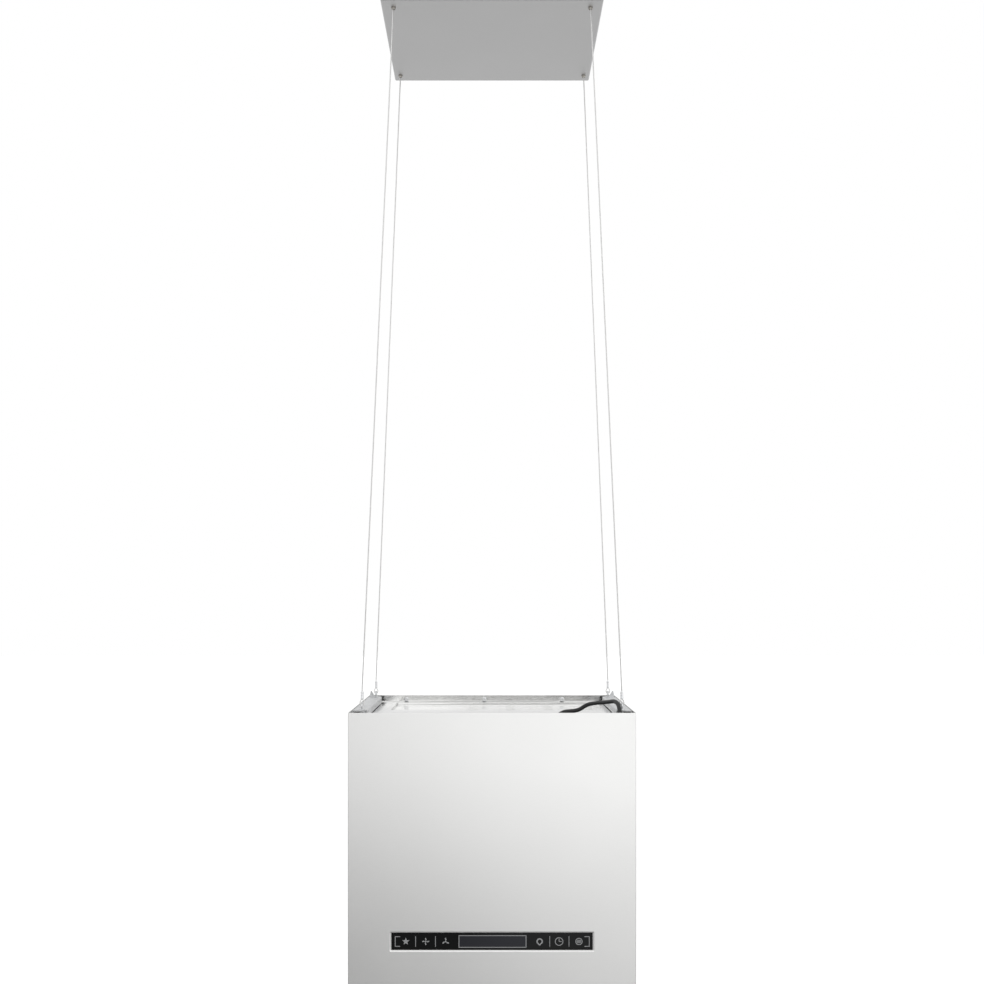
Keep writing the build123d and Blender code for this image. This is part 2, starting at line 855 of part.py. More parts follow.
def funnel(extra):
    """Flared duct between the spiral's outlet and the grille, grown by a wall."""
    low = outlet_z + diffuser_sheet + diffuser_collar
    high = panel_under - diffuser_sheet - diffuser_collar
    neck = Pos(0, neck_centre_y, low) * Rectangle(scroll_width + 2 * extra, neck_depth + 2 * extra)
    mouth = Pos(0, diffuser_centre_y, high) * Rectangle(
        diffuser_width + 2 * extra, diffuser_depth + 2 * extra
    )
    body = loft([neck.face(), mouth.face()])
    collar = Pos(0, diffuser_centre_y, high) * extrude(
        Rectangle(diffuser_width + 2 * extra, diffuser_depth + 2 * extra), panel_under - high
    )
    foot = Pos(0, neck_centre_y, outlet_z + diffuser_sheet) * extrude(
        Rectangle(scroll_width + 2 * extra, neck_depth + 2 * extra), diffuser_collar
    )
    return body + collar + foot


def outlet_diffuser():
    body = funnel(diffuser_sheet)
    top = Rectangle(
        diffuser_width + 2 * (diffuser_sheet + diffuser_flange),
        diffuser_depth + 2 * (diffuser_sheet + diffuser_flange),
    )
    body += Pos(0, diffuser_centre_y, panel_under - diffuser_sheet) * extrude(top, diffuser_sheet)
    foot = Rectangle(2 * (side_x + scroll_lip), neck_depth + 2 * scroll_rim)
    body += Pos(0, neck_centre_y, outlet_z) * extrude(foot, diffuser_sheet)
    body -= funnel(0)
    body -= Pos(0, neck_centre_y, outlet_z) * extrude(Rectangle(scroll_width, neck_depth), diffuser_sheet)
    for x, y in lip_screw_points():
        body -= post(pan_shank_radius + fit_gap, x, y, outlet_z, outlet_z + diffuser_sheet)
    for x, y in diffuser_screw_tops():
        body -= post(pan_shank_radius + fit_gap, x, y, panel_under - 2 * diffuser_sheet, panel_under)
    return body


def diffuser_screws():
    pieces = []
    for x, y in lip_screw_points():
        pieces.append(Pos(x, y, outlet_z + diffuser_sheet) * pan_screw(diffuser_sheet + scroll_sheet + 3))
    for x, y in diffuser_screw_tops():
        length = diffuser_sheet + inner_sheet - 0.3
        pieces.append(Pos(x, y, panel_under - diffuser_sheet) * Rot(180, 0, 0) * pan_screw(length))
    return group(pieces)


# Carbon filters

carbon_start = ring_x + 2.5
carbon_bed = ring_x + collar_length + soft_gap + 0.5


def carbon_case():
    """Right-hand cassette: a skirt with bayonet pockets and two spoked faces."""
    end = carbon_start + carbon_thickness
    case = across(Circle(carbon_radius), carbon_start, end)
    case = fillet(case.edges().filter_by(GeomType.CIRCLE).sort_by(Axis.X)[-1], 3)
    case -= rod_x(collar_radius + soft_gap, carbon_start, carbon_bed)
    bore = collar_radius - 2 * carbon_wall
    case -= rod_x(bore, carbon_bed + carbon_wall, end - carbon_wall)
    window = Circle(bore - 2) - Circle(bore * 0.2)
    spokes = Sketch()
    for k in range(carbon_spokes):
        spokes += Rot(0, 0, k * 360 / carbon_spokes) * (
            Pos(bore / 2, 0) * Rectangle(bore, carbon_wall * 1.6)
        )
    hoop = Circle(bore * 0.62) - Circle(bore * 0.58)
    window = window - spokes - hoop
    case -= across(window, carbon_bed, carbon_bed + carbon_wall)
    case -= across(window, end - carbon_wall, end)
    # pockets in which the ring's lugs turn, and the ways in for them
    lug_x = ring_x + collar_length - lug_width - 1
    pocket_r = lug_radius + soft_gap
    depth = lug_width + 2 * soft_gap
    height = pocket_r - collar_radius + 1
    pocket = Rectangle(depth, height, align=(Align.MIN, Align.MAX))
    pocket = Pos(lug_x - soft_gap, pocket_r) * pocket
    pocket = revolve(pocket, Axis.X, lug_angle + twist_angle + 2)
    way = Rectangle(lug_x - carbon_start + 1, height, align=(Align.MIN, Align.MAX))
    way = revolve(Pos(carbon_start - 0.5, pocket_r) * way, Axis.X, lug_angle + 2)
    for k in range(arm_count):
        angle = 30 + k * 360 / arm_count
        case -= Pos(0, 0, axis_z) * Rot(angle - twist_angle - 1, 0, 0) * pocket
        case -= Pos(0, 0, axis_z) * Rot(angle - twist_angle - 1, 0, 0) * way
    return case


def carbon_pad():
    radius = collar_radius - 2 * carbon_wall - soft_gap
    end = carbon_start + carbon_thickness - carbon_wall - soft_gap
    return across(Circle(radius), carbon_bed + carbon_wall + soft_gap, end)


# Grease filter

filter_floor = base + shell_sheet
filter_half_x = filter_width / 2
filter_half_y = filter_depth / 2
panel_floor = filter_floor + inner_sheet
hinge_y = filter_half_y + filter_gap + hinge_rod_inset
hinge_z = panel_floor + hinge_rod_radius - 2 * fit_gap
latch_z = panel_floor + latch_lift + soft_gap
latch_front = -filter_half_y + filter_sheet + 1.5
latch_box_rear = latch_front + latch_length + latch_travel + 1.8
latch_box_half = latch_width / 2 + soft_gap + latch_wall
window_half = tongue_width / 2 + 6


def grease_filter_frame():
    w = filter_half_x
    h = filter_half_y
    t = filter_sheet
    rail = filter_rail
    top = filter_floor + filter_height
    frame = block(-w, w, -h, h, filter_floor, top)
    frame -= block(-w + t, w - t, -h + t, h - t, filter_floor + t, top - t)
    frame -= block(-w + rail, w - rail, -h + rail, h - rail, filter_floor, top)
    for side in (-1, 1):
        frame += filter_hook(side * hook_pitch / 2)
    # slot for the latch's tongue and the finger window below it
    frame -= block(
        -tongue_width / 2 - soft_gap, tongue_width / 2 + soft_gap, -h, -h + 2 * t,
        panel_floor, latch_z + latch_thickness + soft_gap,
    )
    frame -= block(-window_half, window_half, latch_front + 2, -h + rail, filter_floor, filter_floor + t)
    return frame


def filter_hook(x):
    """Half-round hook over the hinge rod, with its arm from the frame's rear wall."""
    inside = hinge_rod_radius + fit_gap
    outside = inside + hook_wall
    x0 = x - hook_width / 2
    x1 = x + hook_width / 2
    hook = rod_x(outside, x0, x1, hinge_y, hinge_z)
    hook += block(x0, x1, filter_half_y - filter_sheet, hinge_y, hinge_z + inside, hinge_z + outside)
    hook -= rod_x(inside, x0, x1, hinge_y, hinge_z)
    return hook - block(x0, x1, hinge_y - outside, hinge_y + outside, hinge_z - outside, hinge_z)


def mesh_gap(x, y):
    reach = latch_box_half + filter_rail
    return abs(x) < reach and y < latch_box_rear + latch_wall + mesh_web


def grease_filter_mesh():
    """Expanded sheet behind the frame's lower flange, diamonds in offset rows."""
    half_x = filter_half_x - filter_sheet - soft_gap
    half_y = filter_half_y - filter_sheet - soft_gap
    z = filter_floor + filter_sheet
    sheet = block(-half_x, half_x, -half_y, half_y, z, z + mesh_sheet)
    inside_x = 2 * (filter_half_x - filter_rail)
    inside_y = 2 * (filter_half_y - filter_rail)
    pitch_x = inside_x / mesh_rows
    pitch_y = inside_y / mesh_rows
    cut_x = (pitch_x - mesh_web * sqrt(2)) / 2
    cut_y = (pitch_y - mesh_web * sqrt(2)) / 2
    holes = Sketch()
    for row in range(2 * mesh_rows - 1):
        shift = 1.0 if row % 2 else 0.5
        count = mesh_rows - 1 if row % 2 else mesh_rows
        for column in range(count):
            x = (column + shift) * pitch_x - inside_x / 2
            y = (row / 2 + 0.5) * pitch_y - inside_y / 2
            if mesh_gap(x, y - cut_y):
                continue
            diamond = Polygon((-cut_x, 0), (0, -cut_y), (cut_x, 0), (0, cut_y))
            holes += Pos(x, y) * diamond
    sheet -= Pos(0, 0, z) * extrude(holes, mesh_sheet)
    return sheet - block(
        -latch_box_half - fit_gap, latch_box_half + fit_gap, -half_y, latch_box_rear + latch_wall + fit_gap,
        z, z + mesh_sheet,
    )


def grease_filter_core():
    half_x = filter_half_x - filter_sheet - soft_gap
    half_y = filter_half_y - filter_sheet - soft_gap
    low = filter_floor + filter_sheet + mesh_sheet
    high = filter_floor + filter_height - filter_sheet
    core = block(-half_x, half_x, -half_y, half_y, low, high - fit_gap)
    return core - block(
        -latch_box_half - soft_gap, latch_box_half + soft_gap,
        -half_y, latch_box_rear + latch_wall + soft_gap, low, high,
    )


def latch_housing():
    w = latch_wall
    low = filter_floor + filter_sheet
    high = filter_floor + filter_height - filter_sheet
    front = -filter_half_y + filter_sheet
    body = block(-latch_box_half, latch_box_half, front, latch_box_rear + w, low, high)
    inside = latch_width / 2 + soft_gap
    body -= block(-inside, inside, front, latch_box_rear, latch_z - soft_gap, latch_z + latch_thickness + soft_gap)
    way = tongue_width / 2 + soft_gap
    body -= block(-way, way, front, latch_box_rear - 1, low, latch_z)
    return body - block(-inside, inside, latch_front + latch_length, latch_box_rear - 1, low, latch_z)


def filter_latch():
    half = latch_width / 2
    plate = block(-half, half, latch_front, latch_front + latch_length, latch_z, latch_z + latch_thickness)
    tip = -filter_half_y - tongue_reach
    tongue = block(
        -tongue_width / 2, tongue_width / 2, tip, latch_front, panel_floor + soft_gap, latch_z + latch_thickness
    )
    tongue = chamfer(tongue.edges().filter_by(Axis.X).sort_by(Axis.Y)[:2].sort_by(Axis.Z)[-1], 1.5)
    knob_front = latch_front + 9
    knob = block(-tongue_width / 2, tongue_width / 2, knob_front, knob_front + 3, filter_floor + 0.2, latch_z)
    return plate + tongue + knob


def latch_springs():
    """Two short compression springs between the latch and its housing."""
    start = latch_front + latch_length + soft_gap
    length = latch_box_rear - start - soft_gap
    height = length - 2 * spring_wire
    pieces = []
    for side in (-1, 1):
        helix = Helix(height / spring_turns, height, spring_radius)
        tube = sweep(
            Plane(helix @ 0, z_dir=helix % 0) * RegularPolygon(spring_wire, 6), helix, is_frenet=True
        )
        centre = Pos(side * latch_width / 4, start + spring_wire, latch_z + latch_thickness / 2)
        pieces.append(centre * Rot(-90, 0, 0) * tube)
    return group(pieces)


# Lamps

def lamp_bezel(x):
    low = base + shell_sheet - lamp_bezel_height
    top = base + shell_sheet
    ring = post(lamp_bezel_radius, x, 0, low, top)
    ring = chamfer(ring.edges().sort_by(Axis.Z)[0], lamp_bezel_height * 0.7)
    ring += post(lamp_hole_radius, x, 0, top, top + 5)
    return ring - post(lamp_lens_radius + fit_gap, x, 0, low, top + 5)


def lamp_lens(x):
    low = base + shell_sheet - lamp_bezel_height / 2
    return post(lamp_lens_radius, x, 0, low, low + 2.0)


def lamp_body(x):
    low = base + shell_sheet + 5
    core = post(lamp_hole_radius * 0.7, x, 0, low, low + lamp_body_height)
    core += post(lamp_hole_radius, x, 0, low, low + 3)
    for k in range(lamp_fins):
        fin = block(0, lamp_hole_radius, -0.8, 0.8, 0, lamp_body_height)
        core += Pos(x, 0, low) * Rot(0, 0, k * 360 / lamp_fins) * fin
    return core


# Control panel

glass_front = -half_depth + control_recess
glass_back = glass_front + glass_thickness
board_front = glass_back + display_depth + board_gap
control_z = rim - control_drop


def slab(width, height, y0, y1, corner):
    """Upright rounded slab about the control panel's middle."""
    face = RectangleRounded(width, height, corner)
    return Pos(0, y0, control_z) * extrude(Plane.XZ * face, -(y1 - y0))


def control_glass():
    width = control_width - 2 * glass_gap
    height = control_height - 2 * glass_gap
    return slab(width, height, glass_front, glass_back, control_corner)


def display_module():
    body = slab(display_width, display_height, glass_back + fit_gap, glass_back + display_depth, 0.6)
    return body


def control_board():
    width = control_width - 10
    board = slab(width, board_height, board_front, board_front + board_thickness, 1)
    back = board_front + board_thickness
    for side in (-1, 1):
        x = side * width * 0.36
        board += block(x - 10, x + 10, back, back + 5, control_z - 5, control_z + 5)
    board += block(-14, 14, back, back + 2.5, control_z - 7, control_z + 7)
    for k in range(2):
        x = (k - 0.5) * display_width * 0.8
        board += block(x - 2, x + 2, glass_back + display_depth, board_front, control_z - 4, control_z + 4)
    return board


def control_housing():
    """Open box behind the collar, with an ear for a weld stud at each end."""
    front = glass_back
    back = front + housing_depth
    width = control_width + 2 * shell_sheet
    body = slab(width, housing_height, front, back, 3)
    hollow = slab(width - 2 * housing_wall, housing_height - 2 * housing_wall, front, back - housing_wall, 1.5)
    body -= hollow
    ear_top = housing_height / 2
    for side in (-1, 1):
        ear = block(
            width / 2 - 1, width / 2 + housing_ear, front, front + housing_wall,
            control_z - ear_top, control_z + ear_top,
        )
        body += ear if side > 0 else mirrored(ear)
    for x, y, z in control_stud_points():
        body -= Pos(x, front, z) * Rot(90, 0, 0) * Cylinder(stud_radius + fit_gap, 3 * housing_wall)
    rail_low = control_z - board_height / 2 - soft_gap
    rail = board_front + board_thickness
    for x in (-width / 3, width / 3):
        body += block(x - 3, x + 3, rail, back, rail_low - 2, rail_low + 1.5)
    return body


def hexagon_nuts():
    """Nuts on the side walls' studs, on the control housing's studs and below the eye bolts."""
    pieces = []
    for x, y, z in stud_points():
        nut = Pos(x - bracket_sheet, y, z) * Rot(0, -90, 0) * hex_nut(
            stud_nut_radius, stud_nut_height, stud_radius + fit_gap
        )
        pieces.append(nut)
        pieces.append(mirrored(nut))
    for x, y, z in control_stud_points():
        seat = glass_back + housing_wall
        nut = hex_nut(stud_nut_radius, stud_nut_height, stud_radius + fit_gap)
        pieces.append(Pos(x, seat, z) * Rot(-90, 0, 0) * nut)
    under = rim - bracket_sheet - stud_nut_height
    nut = hex_nut(stud_nut_radius, stud_nut_height, eye_shank_radius + fit_gap)
    pieces += [Pos(x, y, under) * nut for x, y in eye_places]
    return group(pieces)


# Power box

power_top = tray_floor - inner_sheet
power_front = -inner_y + power_front_gap


def power_box():
    w = power_wall
    half = power_width / 2
    rear = power_front + power_depth
    box = block(-half, half, power_front, rear, power_top - power_height, power_top)
    box = fillet(box.edges().filter_by(Axis.Z), 3)
    box -= block(
        -half + w, half - w, power_front + w, rear - w, power_top - power_height, power_top - w
    )
    for k in range(3):
        y = power_front + power_depth * (k + 1) / 4
        box -= rod_x(3.0, half - 2 * w, half + w, y, power_top - power_height * 0.6)
    return box


def power_box_lid():
    half = power_width / 2
    rear = power_front + power_depth
    low = power_top - power_height - power_wall
    lid = block(-half, half, power_front, rear, low, low + power_wall)
    lid = fillet(lid.edges().filter_by(Axis.Z), 3)
    inset = power_wall + soft_gap
    rim_piece = block(
        -half + inset, half - inset, power_front + inset, rear - inset, low + power_wall, low + 2 * power_wall
    )
    rim_piece -= block(
        -half + 2 * inset, half - 2 * inset, power_front + 2 * inset, rear - 2 * inset,
        low + power_wall, low + 2 * power_wall,
    )
    return lid + rim_piece


# Mains lead

def cord_gland():
    """Gland with its flange on the tray's floor, a tapered relief above and a nut below."""
    top = tray_floor + gland_height
    flange = post(gland_flange_radius, 0, 0, tray_floor, tray_floor + 3)
    hexagon = Pos(0, 0, tray_floor + 3) * extrude(RegularPolygon(gland_nut_radius, 6), 6)
    tip = cord_radius + 1.2
    relief = Pos(0, 0, (top + tray_floor + 9) / 2) * Cone(
        gland_thread_radius, tip, top - tray_floor - 9
    )
    thread = post(gland_thread_radius, 0, 0, tray_floor - 9, tray_floor)
    body = flange + hexagon + relief + thread
    nut = Pos(0, 0, tray_floor - inner_sheet - 4) * extrude(RegularPolygon(gland_nut_radius, 6), 4)
    return Pos(gland_x, gland_y) * (body + nut)


lower_layer = tray_floor + soft_gap + tie_sheet + soft_gap + cord_radius
upper_layer = lower_layer + coil_layer
coil_y = (tray_front + tray_rear) / 2
coil_outer_radius = coil_inner_radius + coil_half_turns * coil_pitch / 2
coil_start = Vector(coil_x + 2 * cord_radius, coil_y + coil_outer_radius, lower_layer)

# The free stretch, from the gland over the ledge behind the tray and down to the coil
lead_points = [
    (gland_x, gland_y, tray_floor + gland_height),
    (gland_x, gland_y, rim - 4.7),
    (gland_x - 1.8, gland_y + 19.0, rim + 12.3),
    (gland_x - 14.8, gland_y + 42.6, rim + 8.0),
    (gland_x - 29.2, gland_y + 64.5, rim + 5.2),
    (gland_x - 40.4, gland_y + 74.2, rim + 1.0),
    (gland_x - 53.2, gland_y + 76.0, rim - 6.9),
    (gland_x - 81.0, gland_y + 73.0, rim - 6.9),
    (gland_x - 109.2, coil_start.Y, coil_start.Z),
    (coil_start.X, coil_start.Y, coil_start.Z),
]


def bend_radii(points):
    """Radius at each inner point: 0.45 of the shorter run over the tangent of half the turn."""
    radii = []
    for a, b, c in zip(points, points[1:], points[2:]):
        run_in = Vector(b) - Vector(a)
        run_out = Vector(c) - Vector(b)
        turn = radians(run_in.get_angle(run_out))
        radii.append(0.45 * min(run_in.length, run_out.length) / tan(turn / 2))
    return radii


def mains_lead():
    radii = bend_radii(lead_points)
    path = FilletPolyline(*lead_points, radius=radii)
    section = Plane(lead_points[0], z_dir=path % 0) * Circle(cord_radius)
    tube = sweep(section, path)
    print("lead radii", [round(r, 1) for r in radii], "length", round(path.length, 1))
    print("lead volume over section times length", round(tube.volume / (pi * cord_radius**2 * path.length), 4))
    return tube


def biarc(start, start_way, end, end_way):
    """Two arcs that join two points along their tangents."""
    span = end - start
    ways = start_way + end_way
    a = 2 * (1 - start_way.dot(end_way))
    b = 2 * span.dot(ways)
    c = -span.dot(span)
    reach = (-b + sqrt(b * b - 4 * a * c)) / (2 * a)
    first = start + start_way * reach
    last = end - end_way * reach
    middle = (first + last) * 0.5
    return [
        TangentArc(start, middle, tangent=start_way),
        TangentArc(end, middle, tangent=end_way * -1),
    ]


def coil_nodes():
    """Ends of the coil's half turns, spiralling in, climbing, and out again."""
    radii = [coil_outer_radius - k * coil_pitch / 2 for k in range(coil_half_turns + 1)]
    radii += radii[::-1]
    nodes = []
    for k, radius in enumerate(radii):
        side = 1 if k % 2 == 0 else -1
        height = lower_layer if k <= coil_half_turns else upper_layer
        place = Vector(coil_x, coil_y + side * radius, height)
        nodes.append((place, Vector(-side, 0, 0)))
    return nodes


def coil_path():
    # the last half turn ends early, where the tail leaves for the plug
    nodes = coil_nodes()[:-1]
    edges = [Line(coil_start, nodes[0][0])]
    for (a, way_a), (b, way_b) in zip(nodes, nodes[1:]):
        edges += biarc(a, way_a, b, way_b)
    start, way = nodes[-1]
    radius = start.Y - coil_y + coil_pitch / 2
    end = coil_tail_start(radius)
    edges += biarc(start, way, end, tail_way)
    edges.append(Line(end, end + tail_way * coil_tail))
    return edges


tail_way = Vector(-1, -1, 0).normalized()


def coil_tail_start(radius):
    diag = radius * sqrt(0.5)
    return Vector(coil_x - diag, coil_y + diag, upper_layer)


def mains_lead_coil():
    edges = coil_path()
    path = Wire([e if isinstance(e, Edge) else e.edge() for e in edges])
    start = edges[0]
    section = Plane(start @ 0, z_dir=start % 0) * Circle(cord_radius)
    tube = sweep(section, path)
    print("coil length", round(path.length, 1))
    print("coil volume over section times length", round(tube.volume / (pi * cord_radius**2 * path.length), 4))
    print("coil least gap to itself", round(least_gap(path), 2))
    return tube


def least_gap(path):
    """Least gap between stretches of the tube more than four diameters apart along it."""
    count = ceil(path.length / 1.5)
    step = path.length / count
    points = [path @ (k / count) for k in range(count + 1)]
    apart = ceil(8 * cord_radius / step)
    least = path.length
    for i, p in enumerate(points):
        for q in points[i + apart :]:
            flat = abs(p.X - q.X) + abs(p.Y - q.Y)
            if flat < 4 * cord_radius:
                least = min(least, (p - q).length)
    return least - 2 * cord_radius


def lead_tie():
    """Tie round the coil's right side."""
    gap = tie_gap + cord_radius
    inner = coil_x + coil_inner_radius + coil_pitch / 4 - gap
    outer = coil_x + coil_outer_radius - 3 * coil_pitch / 4 + gap
    low = lower_layer - soft_gap - cord_radius
    high = upper_layer + soft_gap + cord_radius
    t = tie_sheet
    y0 = coil_y - tie_width / 2
    y1 = coil_y + tie_width / 2
    body = block(inner - t, outer + t, y0, y1, low - t, high + t)
    body = fillet(body.edges().filter_by(Axis.Y), 1.2)
    body -= block(inner, outer, y0, y1, low, high)
    lock = block(inner + 4, inner + 9, y0 - 0.6, y1 + 0.6, high + t, high + t + 3)
    return body + lock


def mains_plug():
    """Angled earthed plug on its back, its pins up and its boot towards the coil."""
    tail_end = coil_path()[-1] @ 1
    centre = tail_end + tail_way * (plug_boot + plug_radius * 0.8)
    body = post(plug_radius, centre.X, centre.Y, tray_floor, tray_floor + plug_height)
    body = fillet(body.edges().filter_by(GeomType.CIRCLE), 3)
    boot_plane = Plane(tail_end, z_dir=tail_way)
    boot = boot_plane.location * Pos(0, 0, plug_boot / 2 + 3) * Cone(
        cord_radius + 1.0, 6.5, plug_boot + 6
    )
    boot -= boot_plane.location * Pos(0, 0, -5) * Cylinder(20, 10)
    body += boot
    side = Vector(tail_way.Y, -tail_way.X, 0)
    top = tray_floor + plug_height
    for way in (-1, 1):
        spot = centre + side * (way * pin_pitch / 2)
        pin = post(pin_radius, spot.X, spot.Y, top - 1, top + pin_length)
        body += fillet(pin.edges().filter_by(GeomType.CIRCLE).sort_by(Axis.Z)[-1], 1.4)
        notch = centre + tail_way * (way * plug_radius)
        body -= post(2.2, notch.X, notch.Y, top - plug_height * 0.5, top)
    return body


# Pieces by name

upper_tops = cable_tops
cable_names = ("cable_front_left", "cable_front_right", "cable_rear_left", "cable_rear_right")
nodes = {
    "ceiling_plate": ceiling_plate(),
    "ceiling_cover": ceiling_cover(),
    "cover_screws": group(place * sunk_screw(cover_sheet) for place in cover_screw_places()),
    "cable_grippers": group(Pos(x, y, 0) * cable_gripper() for x, y in cable_tops),
    "cable_ferrules": group(Pos(x, y, ferrule_bottom) * ferrule() for x, y in eye_places),
    "cable_loops": group(Pos(x, y, loop_bottom) * cable_loop() for x, y in eye_places),
    "cable_eyes": group(Pos(x, y, rim) * cable_eye() for x, y in eye_places),
    "hanging_bracket_right": hanging_bracket(),
    "hanging_bracket_left": mirrored(hanging_bracket()),
    "outer_shell": outer_shell(),
    "hexagon_nuts": hexagon_nuts(),
    "top_panel": top_panel(),
    "rim_screws": group(
        Pos(x, inner_y - inner_sheet, rim - rim_screw_drop) * Rot(90, 0, 0) * pan_screw(inner_sheet + 0.7)
        for x in rim_screw_xs()
    ),
    "wiring_tray": wiring_tray(),
    "outlet_grille": outlet_grille(),
    "outlet_diffuser": outlet_diffuser(),
    "diffuser_screws": diffuser_screws(),
    "scroll_wrap": scroll_wrap(),
    "scroll_side_right": scroll_side(),
    "scroll_side_left": mirrored(scroll_side()),
    "inlet_ring_right": inlet_ring(),
    "inlet_ring_left": mirrored(inlet_ring()),
    "impeller_blades": impeller_blades(),
    "impeller_rings": impeller_rings(),
    "impeller_disc": impeller_disc(),
    "motor_shaft": motor_shaft(),
    "shaft_bearings": shaft_bearings(),
    "motor_body": motor_body(),
    "motor_bracket": motor_bracket(),
    "motor_screws": motor_screws(),
    "carbon_filter_right": carbon_case(),
    "carbon_filter_left": mirrored(carbon_case()),
    "carbon_pad_right": carbon_pad(),
    "carbon_pad_left": mirrored(carbon_pad()),
    "bottom_panel": bottom_panel(),
    "bottom_screws": group(place * sunk_screw(shell_sheet) for place in bottom_screw_places()),
    "grease_filter_frame": grease_filter_frame(),
    "grease_filter_mesh": grease_filter_mesh(),
    "grease_filter_core": grease_filter_core(),
    "latch_housing": latch_housing(),
    "filter_latch": filter_latch(),
    "latch_springs": latch_springs(),
    "lamp_bezels": group(lamp_bezel(side * lamp_x) for side in (-1, 1)),
    "lamp_lenses": group(lamp_lens(side * lamp_x) for side in (-1, 1)),
    "lamp_bodies": group(lamp_body(side * lamp_x) for side in (-1, 1)),
    "control_glass": control_glass(),
    "display_module": display_module(),
    "control_board": control_board(),
    "control_housing": control_housing(),
    "power_box": power_box(),
    "power_box_lid": power_box_lid(),
    "cord_gland": cord_gland(),
    "mains_lead": mains_lead(),
    "mains_lead_coil": mains_lead_coil(),
    "lead_tie": lead_tie(),
    "mains_plug": mains_plug(),
}
for name, top, foot in zip(cable_names, cable_tops, eye_places):
    nodes[name] = suspension_cable(top, foot)

os.makedirs("parts", exist_ok=True)
for name, shape in nodes.items():
    export_step(shape, os.path.join("parts", name + ".step"))
print(len(nodes), "nodes written")
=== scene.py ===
"""Hanging range hood: its finishes, its fine shapes and its photo stage, laid over the fixed frame."""

from math import atan2, cos, degrees, hypot, pi, radians, sin, sqrt

import bmesh
import bpy
from bpy.props import FloatProperty, FloatVectorProperty, IntProperty, PointerProperty
from mathutils import Euler, Matrix, Vector


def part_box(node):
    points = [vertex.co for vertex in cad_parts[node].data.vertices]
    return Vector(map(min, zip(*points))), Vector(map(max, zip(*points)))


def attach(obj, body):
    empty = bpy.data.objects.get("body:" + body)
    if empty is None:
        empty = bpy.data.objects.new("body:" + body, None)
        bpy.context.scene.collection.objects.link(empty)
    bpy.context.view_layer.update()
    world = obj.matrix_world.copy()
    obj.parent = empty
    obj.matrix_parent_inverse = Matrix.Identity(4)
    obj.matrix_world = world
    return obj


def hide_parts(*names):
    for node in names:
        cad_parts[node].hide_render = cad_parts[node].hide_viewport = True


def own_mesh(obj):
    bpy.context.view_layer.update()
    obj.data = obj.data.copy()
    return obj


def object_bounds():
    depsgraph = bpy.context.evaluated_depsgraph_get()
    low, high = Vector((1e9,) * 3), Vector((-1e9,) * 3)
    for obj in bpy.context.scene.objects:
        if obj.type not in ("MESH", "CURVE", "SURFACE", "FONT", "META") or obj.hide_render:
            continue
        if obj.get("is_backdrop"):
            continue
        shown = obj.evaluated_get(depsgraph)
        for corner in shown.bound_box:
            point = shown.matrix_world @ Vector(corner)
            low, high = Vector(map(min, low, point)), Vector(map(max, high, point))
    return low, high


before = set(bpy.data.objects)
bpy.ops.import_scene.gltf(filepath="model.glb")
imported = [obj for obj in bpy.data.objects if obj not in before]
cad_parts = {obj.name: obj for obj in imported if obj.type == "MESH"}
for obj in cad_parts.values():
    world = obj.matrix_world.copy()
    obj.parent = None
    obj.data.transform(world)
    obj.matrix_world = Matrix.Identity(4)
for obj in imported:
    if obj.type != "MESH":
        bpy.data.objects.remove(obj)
FIRST_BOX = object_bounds()

bl_info = {
    "name": "Hanging range hood",
    "version": (1, 0, 0),
    "blender": (4, 5, 0),
    "location": "View3D > Sidebar > Hood",
    "description": "Builds the finishes, fine shapes and stage of a hood on four cables",
    "category": "Object",
}

MM = 0.001
EPS = 0.02 * MM
# one turn lays a standing piece along x, the other raises on edge what is drawn flat
ALONG_X = (0, radians(90), 0)
UPRIGHT = (radians(90), 0, 0)

# Places that several pieces share, read from the frame
SHELL_LOW, SHELL_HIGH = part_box("outer_shell")
RIM = SHELL_HIGH.z
GLASS_LOW, GLASS_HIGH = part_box("control_glass")
PANEL_Z = (GLASS_LOW.z + GLASS_HIGH.z) / 2
PANEL_TOP = RIM - 10 * MM
TRAY_LOW, TRAY_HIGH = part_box("wiring_tray")
GRILLE_LOW, GRILLE_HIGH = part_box("outlet_grille")
FILTER_LOW, FILTER_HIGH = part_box("grease_filter_frame")
LAMP_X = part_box("lamp_bezels")[1].x - 25 * MM
# the panels, the tray and the filter's frame are this thick
INNER_SHEET = 1.0 * MM
# the filter's two hooks hang this far from its middle
HOOK_X = 70 * MM


def linear(code):
    """An sRGB hex colour as the linear numbers that shaders take."""
    parts = [int(code[i : i + 2], 16) / 255 for i in (1, 3, 5)]
    return tuple(v / 12.92 if v <= 0.04045 else ((v + 0.055) / 1.055) ** 2.4 for v in parts)


# User values


def millimetres(name, description, default):
    """A user value in metres, its default given in millimetres."""
    return FloatProperty(name=name, description=description, default=default * MM, unit="LENGTH")


def shade(name, description, default):
    """A user colour, its default given as a hex code."""
    return FloatVectorProperty(
        name=name, description=description, subtype="COLOR", size=3, default=linear(default)
    )


class HoodSizes(bpy.types.PropertyGroup):
    """Sizes of the fine shapes that a user may change."""

    sheet: millimetres("Shell sheet", "Thickness of the shell's steel", 1.2)
    bend: millimetres("Bend radius", "Outside radius of the folded edges", 1.6)
    edge: millimetres("Edge break", "Rounding of cut sheet edges", 0.25)
    lip: millimetres("Window lip", "Width of the sloped lip round the panel", 2.2)
    lip_depth: millimetres("Lip depth", "Depth of the sloped lip", 1.6)
    rope: millimetres("Rope diameter", "Diameter of the hanging cables", 1.8)
    rope_lay: millimetres("Rope lay", "Length of one twist of the rope", 12)
    lead: millimetres("Lead diameter", "Diameter of the mains lead", 5.5)
    print_relief: millimetres("Print relief", "Thickness of the printed symbols", 0.04)
    stroke: millimetres("Symbol line", "Width of the printed lines", 0.95)
    mesh_cells: IntProperty(
        name="Filter cells", description="Wire cells along one side of the grease filter",
        default=34, min=8, max=60,
    )


